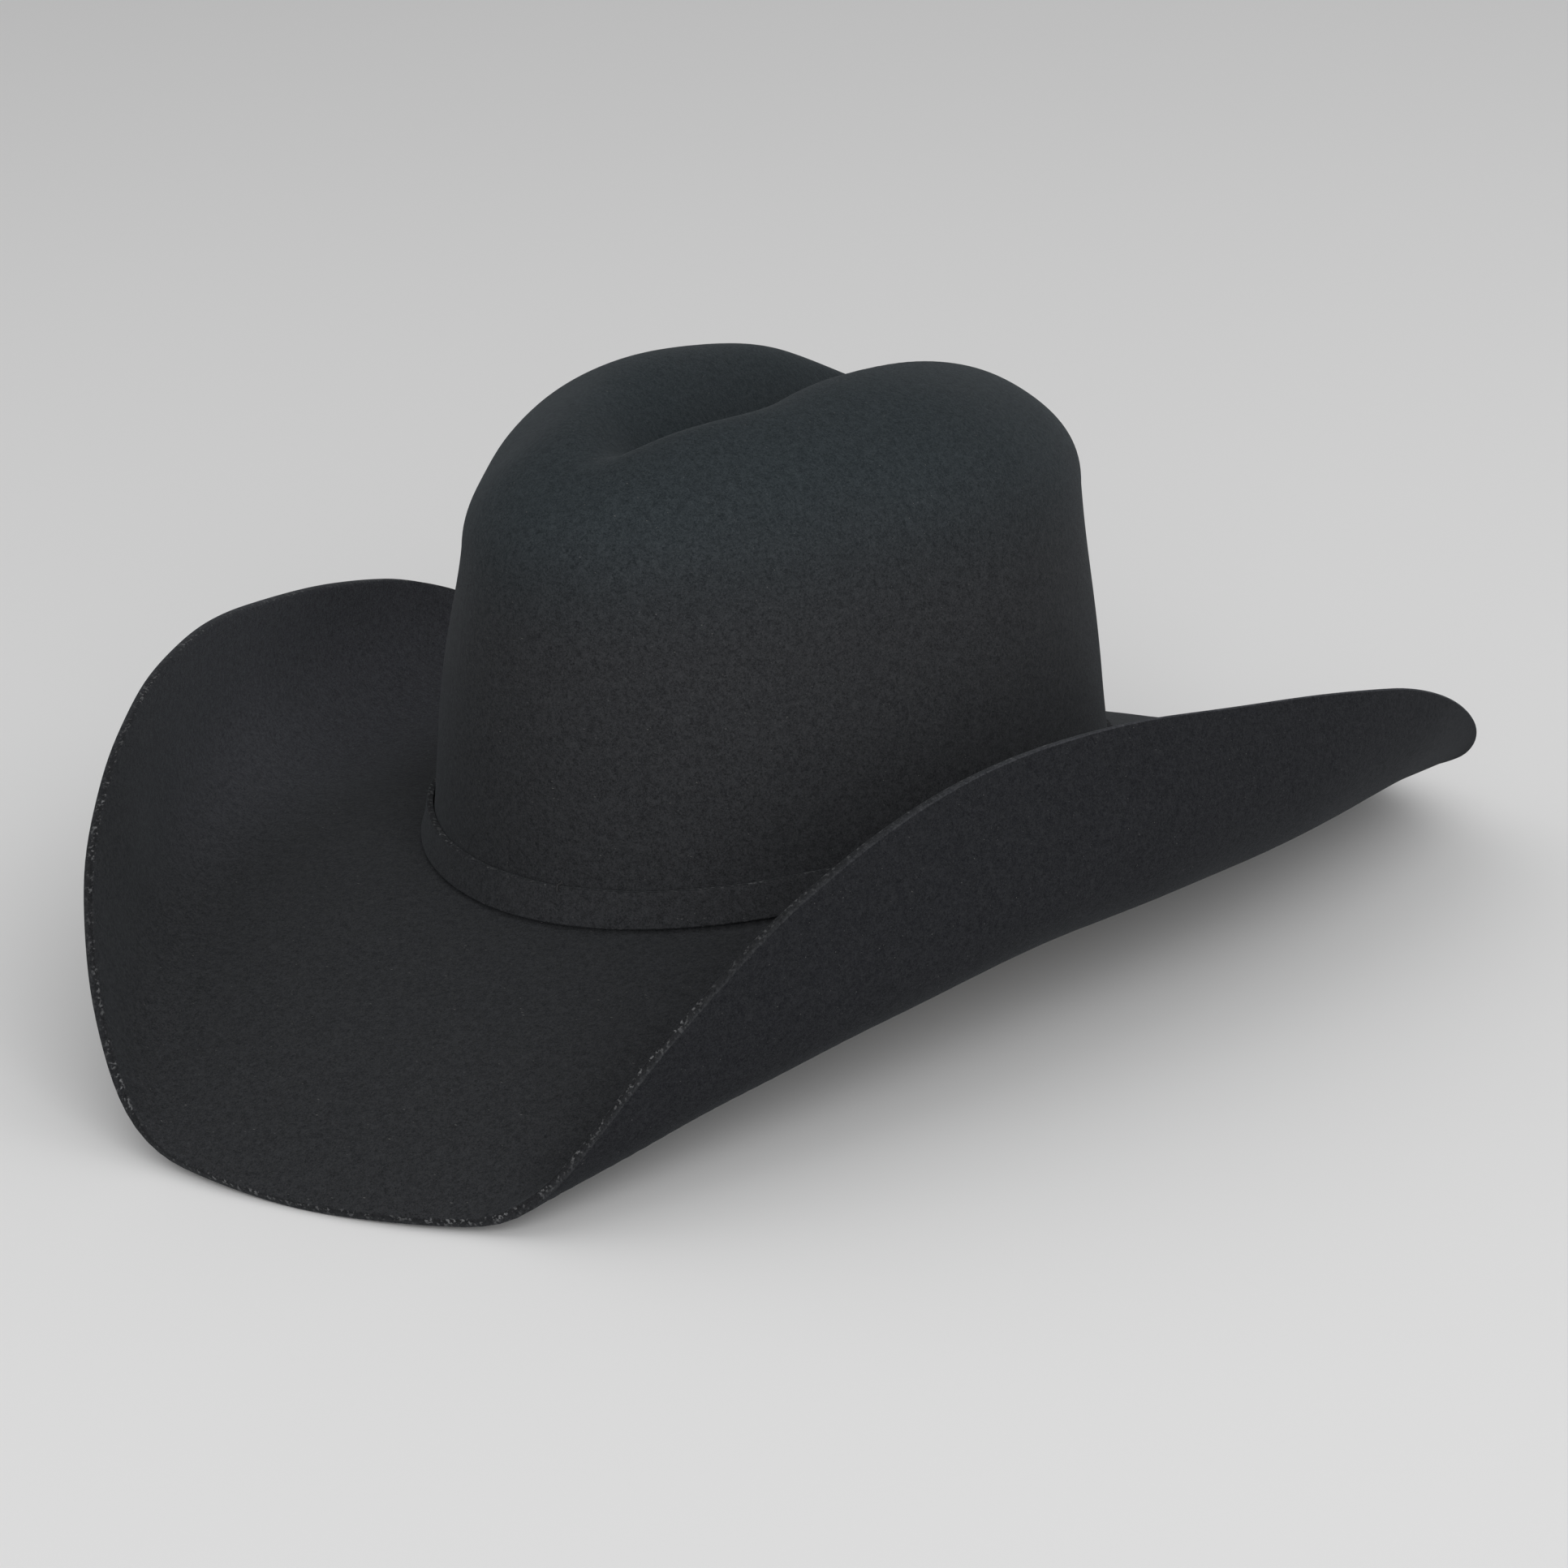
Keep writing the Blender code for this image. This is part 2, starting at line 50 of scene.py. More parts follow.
FELT = 2.8 * MM
HEAD_HALF_WIDTH = 92.5 * MM
HEAD_HALF_LENGTH = 106.0 * MM
BASE_FLARE = 1.95 * MM
FLARE_HEIGHT = 14.0 * MM
CROWN_HEIGHT = 125.6 * MM
WALL_HEIGHT = 83.3 * MM
WALL_LEAN_SIDE = 0.103
WALL_LEAN_END = 0.024
TOP_ROUNDNESS = 2.2
LEAN_TO_LEFT = 0.013
LEAN_STARTS = 30.0 * MM
TOP_RISE_TO_FRONT = 0.030
TOP_RISE_TO_LEFT = -0.031
FOOT_RADIUS = 1.4 * MM  # where the crown turns into the brim
UNEVEN = 0.07 * MM  # height of each of the slow waves that hand blocking leaves in the felt

CREASE_DEPTH = 27.3 * MM
CREASE_REACH = 17.6 * MM
CREASE_NARROWEST = 0.43
CREASE_FRONT = 89.7 * MM
CREASE_GROWTH = 65.7 * MM
CREASE_REAR = 83.6 * MM
CREASE_RUNOUT = 45.9 * MM

DENT_DEPTH = 11.3 * MM
DENT_FORWARD = 53.1 * MM
DENT_HEIGHT = 102.2 * MM
DENT_REACH_ALONG = 49.4 * MM
DENT_REACH_UP = 48.6 * MM
DENT_FULL_AT = 50.0 * MM

BRIM_SIDE = 101.9 * MM
BRIM_FRONT = 111.5 * MM
BRIM_REAR = 92.3 * MM
BRIM_CORNER_EXTRA = 4.5 * MM
ROLL_STATION = 203.8 * MM
ROLL_START = (45.8 * MM, 126.8 * MM, 104.8 * MM)
ROLL_LENGTH = (32.5 * MM, 66.2 * MM, 45.9 * MM)
ROLL_ANGLE = (67.4, 106.7, 61.2)
RIGHT_ROLL_SHIFT = -1.3 * MM
RIGHT_ROLL_SHARE = 0.973
ROLL_STEPS = 48
DIP_START = 45.1 * MM
FRONT_DIP, FRONT_DIP_POWER = 40.5 * MM, 1.93
REAR_DIP, REAR_DIP_POWER = 29.2 * MM, 1.71

GAP = 0.3 * MM
BAND_HEIGHT = 9.6 * MM
BAND_THICK = 1.8 * MM
BAND_BOTTOM = 0.6 * MM
BAND_ROUNDING = 0.35 * MM
TACK_RADIUS = 0.25 * MM
TACK_LEFT = LEFT + math.radians(16)
BAND_BOW = (19 * MM, (3.6 * MM, 1.25 * MM), (4.8 * MM, 2.3 * MM), 0.8 * MM)
BAND_BOW_OUT = BAND_THICK + 3 * GAP + 0.8 * MM + BAND_BOW[1][1]
BAND_BOW_LEVEL = BAND_BOTTOM + BAND_HEIGHT / 2
SWEAT_BOW = (12 * MM, (1.9 * MM, 0.7 * MM), (3.9 * MM, 1.2 * MM), 0.35 * MM)
SWEAT_BOW_LEVEL = 5.0 * MM
WAIST_HALF_LENGTH = 4.0 * MM
LOOP_FLARE = 6.0 * MM
KEEPER_HALF_LENGTH = 3.4 * MM
BOW_SQUARENESS = 0.5
KEEPER_SQUARENESS = 0.3

LINING_DEPTH = FELT + GAP
LINING_THICK = 0.35 * MM
LINING_BOTTOM = 2 * MM
LINING_SEAM = WALL_HEIGHT - 1 * MM
SHIELD_DEPTH = FELT + GAP + 1.8 * MM
SHIELD_THICK = 0.4 * MM
SHIELD_EDGE = WALL_HEIGHT + 18 * MM
PIPING_RADIUS = 0.8 * MM

SWEAT_DEPTH = 4.7 * MM
SWEAT_THICK = 1.1 * MM
SWEAT_TOP = 42.0 * MM
SWEAT_BOTTOM = -3.4 * MM
SWEAT_LEAN = 1.6 * MM
STITCH_RADIUS = 0.22 * MM
SEAM_TAPE_WIDTH = 12.0 * MM
SEAM_TAPE_THICK = 0.3 * MM
BEHIND_SWEAT = SWEAT_DEPTH - 0.7 * MM
LABEL_WIDTH, LABEL_HEIGHT = 26.0 * MM, 12.0 * MM
LABEL_BOTTOM = 12.0 * MM
LABEL_THICK = 0.2 * MM
LABEL_ANGLE = math.radians(68)

REED_RADIUS = 0.9 * MM
REED_CLEAR = 0.5 * MM
REED_LEVEL = -5.7 * MM
REED_DEPTH = SWEAT_DEPTH + SWEAT_THICK / 2
REED_GAP = math.radians(1.0)
SLEEVE_REACH = math.radians(3.2)
TAPE_REACH = math.radians(4.6)
TAPE_THICK = 0.4 * MM
TAPE_MOUTH = math.radians(50)


# ---------------------------------------------------------------- shape of the felt, on whole arrays

def smooth(t):
    t = np.clip(t, 0, 1)
    return t * t * (3 - 2 * t)


def signed_power(value, power):
    return np.sign(value) * np.abs(value) ** power


def through(stations, y):
    """The parabola through a roll's front, middle and rear values, read at y."""
    front, middle, rear = stations
    n = -y / ROLL_STATION
    return middle + (front - rear) / 2 * n + ((front + rear) / 2 - middle) * n * n


def dip(y):
    """How far the brim has dropped at y, in front of the crown or behind it."""
    ahead = (-y - DIP_START) / (HEAD_HALF_LENGTH + BRIM_FRONT - DIP_START)
    behind = (y - DIP_START) / (HEAD_HALF_LENGTH + BRIM_REAR - DIP_START)
    drop = FRONT_DIP * np.maximum(ahead, 0) ** FRONT_DIP_POWER
    return drop + REAR_DIP * np.maximum(behind, 0) ** REAR_DIP_POWER


def shaped_brim(x, y):
    """Where a point of the flat brim goes when the sides are rolled up and the ends dip."""
    start, length = through(ROLL_START, y), through(ROLL_LENGTH, y)
    angle = np.radians(through(ROLL_ANGLE, y))
    start = np.where(x < 0, start + RIGHT_ROLL_SHIFT, start)
    angle = np.where(x < 0, angle * RIGHT_ROLL_SHARE, angle)
    step = np.maximum(np.abs(x) - start, 0) / ROLL_STEPS
    out, up = np.minimum(np.abs(x), start), np.zeros_like(x)
    for i in range(ROLL_STEPS):
        turned = angle * smooth((i + 0.5) * step / length)
        out = out + step * np.cos(turned)
        up = up + step * np.sin(turned)
    return np.stack([np.copysign(out, x), y, up - dip(y)], -1)


def brim_width(theta):
    s = np.sin(theta)
    end = np.where(s < 0, BRIM_FRONT, BRIM_REAR)
    return BRIM_SIDE + BRIM_CORNER_EXTRA * np.sin(2 * theta) ** 2 + (end - BRIM_SIDE) * s * s


def brim_point(theta, share):
    """A point of the brim, at share 0 by the crown and 1 at the cut edge."""
    c, s = np.cos(theta), np.sin(theta)
    nx, ny = c / HEAD_HALF_WIDTH, s / HEAD_HALF_LENGTH
    reach = brim_width(theta) * share / np.hypot(nx, ny)
    return shaped_brim(HEAD_HALF_WIDTH * c + nx * reach, HEAD_HALF_LENGTH * s + ny * reach)


def share_of(value, whole):
    """value / whole, kept between 0 and 1."""
    return np.clip(value / whole, 0, 1)


def dent(x, y, z):
    """How far a side of the crown is pressed in."""
    along = (-y - DENT_FORWARD) / DENT_REACH_ALONG
    up = (z - DENT_HEIGHT) / DENT_REACH_UP
    return DENT_DEPTH * np.exp(-along * along - up * up) * smooth(np.abs(x) / DENT_FULL_AT)


def crease(x, y):
    """How far the top of the crown is pressed down."""
    grown = smooth((CREASE_FRONT + y) / CREASE_GROWTH)
    reach = CREASE_REACH * (CREASE_NARROWEST + (1 - CREASE_NARROWEST) * grown)
    depth = CREASE_DEPTH * grown * smooth((CREASE_REAR - y) / CREASE_RUNOUT + 0.5)
    return depth * np.exp(-((x / reach) ** 2))


def base_flare(z):
    foot = share_of(z, FLARE_HEIGHT)
    return BASE_FLARE * foot * (2 - foot)


def crown_point(theta, radius, z):
    """A point of the crown: radius 1 is the wall, and 0 the middle of the top."""
    c, s = np.cos(theta), np.sin(theta)
    lean = np.minimum(z, WALL_HEIGHT)
    x = (HEAD_HALF_WIDTH - WALL_LEAN_SIDE * lean - base_flare(z)) * radius * c
    y = (HEAD_HALF_LENGTH - WALL_LEAN_END * lean - base_flare(z)) * radius * s
    drop = dip(HEAD_HALF_LENGTH * s) * (1 - share_of(z, CROWN_HEIGHT))
    x = x + LEAN_TO_LEFT * z * share_of(z, LEAN_STARTS)
    z = z + (TOP_RISE_TO_LEFT * x - TOP_RISE_TO_FRONT * y) * (z / CROWN_HEIGHT) ** 2
    x = x - np.copysign(dent(x, y, z), x)
    return np.stack([x, y, z - crease(x, y) - drop], -1)


def unit(vectors):
    return vectors / np.maximum(np.linalg.norm(vectors, axis=-1, keepdims=True), 1e-12)


def wall_point(theta, z, out):
    """A point beside the crown's wall, out from its outer face. Inside, out is negative."""
    theta, z, out = np.broadcast_arrays(*(np.asarray(v, float) for v in (theta, z, out)))
    one, step = np.ones_like(theta), 1e-4
    here = crown_point(theta, one, z)
    side = crown_point(theta + step, one, z) - here
    rise = crown_point(theta, one, z + MM) - here
    return here + out[..., None] * unit(np.cross(side, rise))


def set_down():
    """The matrix that pitches the hat onto the dips of its brim, centred over the origin.

    It lifts the hat by UNEVEN too, which keeps the waves of the felt above the floor.
    """
    ends = []
    for theta in (FRONT, REAR):
        here, side = (brim_point(np.array([t]), np.array([1.0]))[0] for t in (theta, theta + 1e-4))
        inner = brim_point(np.array([theta]), np.array([0.999]))[0]
        upright = unit(np.cross(here - inner, side - here))
        ends.append((Vector(here), Vector(here - FELT * upright)))
    (_, front), (_, rear) = ends
    pitch = -math.atan2(rear.z - front.z, rear.y - front.y)
    turn = Matrix.Rotation(pitch, 4, "X")
    placed = [turn @ corner for pair in ends for corner in pair]
    low = min(p.z for p in placed)
    middle = (min(p.y for p in placed) + max(p.y for p in placed)) / 2
    return Matrix.Translation((0, -middle, UNEVEN - low)) @ turn


STANCE = set_down()
STANCE_TURN = np.array(STANCE.to_3x3())
STANCE_SHIFT = np.array(STANCE.translation)


def stood(points):
    """Points of the hat's own frame, as they are when it stands."""
    return points @ STANCE_TURN.T + STANCE_SHIFT


# ---------------------------------------------------------------- mesh tools

def new_mesh(name, points, faces, look, stands_for=()):
    """A piece from points of the hat's own frame. It rides with the hat and may replace CAD nodes."""
    mesh = bpy.data.meshes.new(name)
    mesh.from_pydata(stood(points.reshape(-1, 3)).tolist(), [], faces)
    mesh.validate()
    if inside_out(mesh):
        mesh.flip_normals()
    obj = bpy.data.objects.new(name, mesh)
    bpy.context.scene.collection.objects.link(obj)
    mesh.shade_smooth()
    mesh.materials.append(look)
    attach(obj, "root")
    if stands_for:
        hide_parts(*stands_for)
    return obj


def inside_out(mesh):
    bm = bmesh.new()
    bm.from_mesh(mesh)
    volume = bm.calc_volume(signed=True)
    bm.free()
    return volume < 0


def grid_faces(rows, columns, wrap_rows=False, wrap_columns=False, flip=False):
    """Quads of a grid of points, row by row. A wrapped direction closes on itself."""
    faces = []
    for i in range(rows if wrap_rows else rows - 1):
        for j in range(columns if wrap_columns else columns - 1):
            a, b = i * columns, (i + 1) % rows * columns
            k = (j + 1) % columns
            quad = (a + j, a + k, b + k, b + j)
            faces.append(quad[::-1] if flip else quad)
    return faces


def set_values(obj, name, values):
    """One number for each vertex, which the material reads by name."""
    data = obj.data.attributes.new(name, "FLOAT", "POINT")
    data.data.foreach_set("value", np.asarray(values, np.float32).reshape(-1))


def ripple(theta, waves, seed):
    """A smooth uneven ripple round the hat, from -1 to 1 or so: a few sines with chosen phases."""
    rng = np.random.default_rng(seed)
    total = np.zeros_like(theta)
    for wave in waves:
        total = total + rng.uniform(0.5, 1.0) * np.sin(wave * theta + rng.uniform(0, TURN))
    return total / math.sqrt(len(waves))


# ---------------------------------------------------------------- node materials

class Look:
    """A procedural material with one Principled shader. Patterns are measured in metres on the piece."""

    def __init__(self, slot, name, **sockets):
        self.material = bpy.data.materials.new(name)
        self.material["slot"] = slot
        self.material.use_nodes = True
        self.nodes = self.material.node_tree.nodes
        self.links = self.material.node_tree.links
        self.shader = self.nodes["Principled BSDF"]
        for socket, value in sockets.items():
            self.shader.inputs[socket.replace("_", " ")].default_value = value
        self.place = self.nodes.new("ShaderNodeTexCoord").outputs["Object"]

    def put(self, kind, settings=None, **sockets):
        """A new node. Sockets are given by name, as values or as the outputs that feed them."""
        node = self.nodes.new("ShaderNode" + kind)
        for key, value in (settings or {}).items():
            setattr(node, key, value)
        for name, value in sockets.items():
            self.feed(node.inputs[name.replace("_", " ")], value)
        return node

    def feed(self, socket, value):
        if isinstance(value, bpy.types.NodeSocket):
            self.links.new(value, socket)
        else:
            socket.default_value = value

    def noise(self, size, detail=4.0, roughness=0.6, stretch=None, distortion=0.0):
        """Cloudy noise from 0 to 1, whose blobs are about that size in metres."""
        place = self.place
        if stretch:
            place = self.put("Mapping", Vector=place, Scale=stretch).outputs["Vector"]
        cloud = self.put(
            "TexNoise", Vector=place, Scale=1 / size, Detail=detail, Roughness=roughness,
            Distortion=distortion,
        )
        return cloud.outputs["Fac"]

    def math(self, operation, a, b=0.0, c=0.0, clamp=False):
        node = self.put("Math", {"operation": operation, "use_clamp": clamp})
        for socket, value in zip(node.inputs, (a, b, c)):
            self.feed(socket, value)
        return node.outputs["Value"]

    def between(self, value, low, high, to_low=0.0, to_high=1.0):
        """value read on a smooth step from low to high."""
        return self.put(
            "MapRange", {"interpolation_type": "SMOOTHSTEP"}, Value=value,
            From_Min=low, From_Max=high, To_Min=to_low, To_Max=to_high,
        ).outputs["Result"]

    def mix(self, share, a, b):
        """Colour a where share is 0, and b where it is 1."""
        node = self.put("Mix", {"data_type": "RGBA"})
        for socket, value in zip((node.inputs[0], node.inputs[6], node.inputs[7]), (share, a, b)):
            self.feed(socket, value)
        return node.outputs[2]

    def attribute(self, name):
        return self.put("Attribute", {"attribute_name": name}).outputs["Fac"]

    def bump(self, height, depth, below=None):
        """Adds relief to the normal, where height 1 stands that many metres proud of height 0."""
        node = self.put("Bump", Strength=1.0, Distance=depth, Height=height)
        if below:
            self.links.new(below, node.inputs["Normal"])
        self.links.new(node.outputs["Normal"], self.shader.inputs["Normal"])
        return node.outputs["Normal"]

    def colour(self, value):
        self.feed(self.shader.inputs["Base Color"], value)

    def roughness(self, value):
        self.feed(self.shader.inputs["Roughness"], value)


# Linear colours of the felt: the pairs are the dark and the light ends of its fibres, here with painted
# cool light on the crown's top and painted light on the rolls. Below the brim is painted shade, and at the
# cut a painted darker core with pale specks, partly painted highlight.
CROWN_TOP_PAINTED_LIGHT_FELT = ((0.0108, 0.0145, 0.0166, 1), (0.0308, 0.0382, 0.0424, 1))
ROLLED_PAINTED_LIGHT_FELT = ((0.0218, 0.0226, 0.0264, 1), (0.0595, 0.0615, 0.0695, 1))
PAINTED_UNDERSIDE_SHADE = (0.0, 0.0004, 0.0022, 1)
PAINTED_CUT_SHADE = (0.004, 0.004, 0.0045, 1)
CUT_FIBRE_AND_HIGHLIGHT = (0.12, 0.122, 0.125, 1)
LINT_PALE = (0.11, 0.11, 0.107, 1)
FIBRE_SIZE, MATTING_SIZE = 0.5 * MM, 1.7 * MM
SHEEN, SHEEN_LOST_BELOW = 0.05, 0.035


def felt_look(slot, name, dark, light):
    """Black wool felt: matted fibres, a soft sheen, painted shade and light on its faces, a cut edge with a
    painted darker core and pale specks that are partly painted highlight, and a little lint.
    """
    look = Look(
        slot, name, Roughness=0.95, Specular_IOR_Level=0.08, Sheen_Roughness=0.35,
        Sheen_Tint=(0.85, 0.93, 1.0, 1.0),
    )
    fibres = look.noise(FIBRE_SIZE, 4.0, 0.7, distortion=1.2)
    matting = look.noise(MATTING_SIZE, 4.0, 0.7, distortion=0.6)
    shade = look.math("MULTIPLY_ADD", fibres, 0.7, look.math("MULTIPLY", matting, 0.3))
    shade = look.between(shade, 0.36, 0.64)
    colour = felt_colour_with_painted_light(look, shade, dark, light)
    colour = cut_colour(look, colour)
    look.colour(look.mix(lint(look), colour, LINT_PALE))
    # The sheen is weaker where shade is painted below the brim.
    sheen = look.math("MULTIPLY_ADD", look.attribute("painted_underside_shade"), -SHEEN_LOST_BELOW, SHEEN)
    look.feed(look.shader.inputs["Sheen Weight"], sheen)
    relief = look.bump(matting, 0.16 * MM)
    look.bump(fibres, 0.12 * MM, relief)
    return look.material


def felt_colour_with_painted_light(look, shade, dark, light):
    """The felt's faces: painted cool light on top of the crown, painted shade below the brim, painted light
    on the rolls.
    """
    colour = look.mix(shade, dark, light)
    broad = look.noise(70 * MM, 2.0, 0.5)
    # Painted cool light on the crown's top, made patchy by broad noise.
    painted_top_light_share = look.math("MULTIPLY", look.attribute("painted_top_light"), look.between(broad, 0.2, 0.7, 0.75, 1.0))
    colour = look.mix(painted_top_light_share, colour, look.mix(shade, *CROWN_TOP_PAINTED_LIGHT_FELT))
    # Painted shade below the brim.
    below = look.math("MULTIPLY", look.attribute("painted_underside_shade"), 0.76)
    colour = look.mix(below, colour, PAINTED_UNDERSIDE_SHADE)
    # Painted light on the rolled sides of the brim.
    painted_roll_light_share = look.math("MULTIPLY", look.attribute("painted_roll_light"), 0.8)
    return look.mix(painted_roll_light_share, colour, look.mix(shade, *ROLLED_PAINTED_LIGHT_FELT))


def cut_colour(look, colour):
    """The cut edge: a painted darker core with pale specks, partly raw fibres and partly painted highlight,
    which fade away here and there.
    """
    cut = look.attribute("cut_edge")
    colour = look.mix(look.math("MULTIPLY", cut, 0.55), colour, PAINTED_CUT_SHADE)
    specks = look.between(look.noise(1.2 * MM, 2.0, 0.6), 0.54, 0.66)
    patches = look.between(look.noise(24 * MM, 2.0, 0.5), 0.38, 0.60, 0.3, 1.0)
    specks_and_highlight = look.math("MULTIPLY", specks, patches)
    return look.mix(look.math("MULTIPLY", cut, specks_and_highlight), colour, CUT_FIBRE_AND_HIGHLIGHT)


def lint(look):
    """Sparse short light fibres: thin slivers round the middles of a few stretched cells."""
    total = 0.0
    for turn, size in (((0.5, 0.9, 0.4), 3.4 * MM), ((1.9, 0.3, 1.2), 2.2 * MM)):
        turned = look.put("Mapping", Vector=look.place, Rotation=turn, Scale=(1.0, 4.0, 4.0))
        cells = look.put(
            "TexVoronoi", {"feature": "F1"}, Vector=turned.outputs["Vector"], Scale=1 / size, Randomness=1.0
        )
        core = look.between(cells.outputs["Distance"], 0.06, 0.16, 1.0, 0.0)
        pick = look.put("SeparateColor", Color=cells.outputs["Color"]).outputs["Red"]
        fibre = look.math("MULTIPLY", core, look.between(pick, 0.945, 0.975))
        total = look.math("ADD", total, fibre, clamp=True)
    return total


FELT_LOOK = felt_look(
    "black_felt", "felt", (0.0105, 0.0111, 0.0123, 1), (0.0333, 0.0345, 0.0370, 1)
)
BAND_LOOK = felt_look(
    "black_band_felt", "band felt", (0.0112, 0.0117, 0.0129, 1), (0.0350, 0.0362, 0.0390, 1)
)


def thread_look():
    look = Look("black_thread", "thread", Roughness=0.7, Specular_IOR_Level=0.25, Sheen_Weight=0.1)
    ply = look.noise(0.35 * MM, 2.0, 0.5, stretch=(1.0, 1.0, 2.2))
    look.colour(look.mix(ply, (0.008, 0.008, 0.009, 1), (0.030, 0.030, 0.032, 1)))
    look.bump(ply, 0.08 * MM)
    return look.material


def leather_look():
    """Thin brown leather: fine pebbled grain, and a slow change of shade where it has been handled."""
    look = Look("brown_leather", "leather", Roughness=0.5, Specular_IOR_Level=0.4)
    cells = look.put("TexVoronoi", {"feature": "DISTANCE_TO_EDGE"}, Vector=look.place, Scale=1 / (0.9 * MM))
    creases = look.between(cells.outputs["Distance"], 0.0, 0.16)
    broad = look.noise(22 * MM, 3.0, 0.55)
    tan = look.mix(broad, (0.120, 0.052, 0.024, 1), (0.205, 0.098, 0.048, 1))
    look.colour(look.mix(creases, (0.070, 0.030, 0.014, 1), tan))
    look.roughness(look.between(look.noise(3 * MM, 4.0), 0.3, 0.7, 0.42, 0.60))
    look.bump(creases, 0.07 * MM)
    return look.material


def satin_look():
    """Champagne satin: long floats that shine along the weave."""
    look = Look(
        "champagne_satin", "satin", Roughness=0.33, Specular_IOR_Level=0.55, Anisotropic=0.5,
        Sheen_Weight=0.15,
    )
    floats = look.noise(0.45 * MM, 3.0, 0.6, stretch=(1.0, 1.0, 0.18))
    broad = look.noise(35 * MM, 2.0, 0.5)
    base = look.mix(broad, (0.47, 0.40, 0.30, 1), (0.58, 0.505, 0.395, 1))
    look.colour(look.mix(look.math("MULTIPLY", floats, 0.35), base, (0.70, 0.63, 0.52, 1)))
    look.roughness(look.between(floats, 0.3, 0.7, 0.28, 0.42))
    look.bump(floats, 0.02 * MM)
    return look.material


def woven_look(slot, name, dark, light, size, roughness):
    """A close plain weave, from two crossed sets of threads."""
    look = Look(slot, name, Roughness=roughness, Specular_IOR_Level=0.3, Sheen_Weight=0.08)
    sets = []
    for stretch in ((1.0, 1.0, 0.12), (0.12, 0.12, 1.0)):
        sets.append(look.noise(size, 2.0, 0.4, stretch=stretch))
    weave = look.math("MULTIPLY_ADD", sets[0], 0.5, look.math("MULTIPLY", sets[1], 0.5))
    weave = look.between(weave, 0.35, 0.65)
    look.colour(look.mix(weave, dark, light))
    look.bump(weave, 0.05 * MM)
    return look.material


def reed_look():
    look = Look("reed_plastic", "reed plastic", Roughness=0.4)
    look.colour(look.mix(look.noise(6 * MM), (0.50, 0.48, 0.43, 1), (0.60, 0.58, 0.53, 1)))
    return look.material


def clear_look():
    look = Look("clear_film", "clear film", Transmission_Weight=0.95, IOR=1.46, Alpha=0.35)
    look.colour((0.86, 0.87, 0.87, 1))
    look.roughness(look.between(look.noise(14 * MM, 3.0), 0.3, 0.7, 0.05, 0.11))
    return look.material


def paper_look():
    look = Look("label_paper", "label", Roughness=0.8)
    fibres = look.noise(0.7 * MM, 4.0, 0.7)
    look.colour(look.mix(fibres, (0.69, 0.67, 0.61, 1), (0.78, 0.76, 0.71, 1)))
    look.bump(fibres, 0.02 * MM)
    return look.material


THREAD_LOOK, LEATHER_LOOK, SATIN_LOOK = thread_look(), leather_look(), satin_look()
RIBBON_LOOK = woven_look(
    "satin_ribbon", "ribbon", (0.010, 0.010, 0.011, 1), (0.028, 0.028, 0.031, 1), 0.4 * MM, 0.38
)
TAPE_LOOK = woven_look(
    "reed_tape_cotton", "cotton tape", (0.015, 0.014, 0.013, 1), (0.045, 0.042, 0.040, 1), 0.6 * MM, 0.85
)
REED_LOOK, CLEAR_LOOK, PAPER_LOOK = reed_look(), clear_look(), paper_look()


# ---------------------------------------------------------------- the felt body

FELT_COLUMNS = 320
EDGE_ROUNDING = 0.55 * MM
QUARTER_TURN = np.radians([22.5, 45, 67.5, 90])
# How much of the cut's painted darker core and pale specks, partly painted highlight, each row across the
# cut shows, from its upper corner to its lower one.
CUT_EDGE_WEIGHTS = (0.2, 0.5, 0.9, 1.0, 0.8, 0.5, 0.35, 0.3, 0.2, 0.1)
# Where each painted light and painted shade begins, and over how far it grows: light on the rolls and the
# crown's top, shade at the rear corners below the brim.
ROLLED_FROM, ROLLED_OVER = 100 * MM, 50 * MM
TOP_FROM, TOP_OVER = 62 * MM, 48 * MM
CORNER_FROM, CORNER_OVER = 110 * MM, 40 * MM
REAR_FROM, REAR_OVER = 90 * MM, 45 * MM
# Painted shade below the brim: this share everywhere, and the rest added at the rear corners.
PAINTED_SHADE_SHARE = 0.55  # the rest is gained at the rear corners


def unevenness(points):
    """How far hand blocking has left the felt from its ideal shape: slow waves in all directions."""
    rng = np.random.default_rng(11)
    total = np.zeros(points.shape[:-1])
    for _ in range(18):
        direction = unit(rng.normal(size=3))
        length = rng.uniform(34, 90) * MM
        total = total + np.sin(points @ direction * TURN / length + rng.uniform(0, TURN))
    return UNEVEN * total


def crown_profile(top_rows, wall_rows):
    """(radius, z) of rows from the middle of the top down to the foot of the wall."""
    t = np.linspace(math.pi / 2, 0, top_rows)
    power = 2 / TOP_ROUNDNESS
    radius = np.abs(np.cos(t)) ** power
    radius[0] = 0
    z = WALL_HEIGHT + (CROWN_HEIGHT - WALL_HEIGHT) * np.sin(t) ** power
    wall = np.linspace(WALL_HEIGHT, FOOT_RADIUS, wall_rows + 1)[1:]
    return np.concatenate([radius, np.ones(wall_rows)]), np.concatenate([z, wall])


def grid_normals(rows):
    """Unit normals of a grid that wraps along its columns, facing out of the hat."""
    along = np.roll(rows, -1, 1) - np.roll(rows, 1, 1)
    down = np.gradient(rows, axis=0)
    normals = np.cross(down, along)
    normals[0] = unit(normals[1].mean(0))
    return unit(normals)


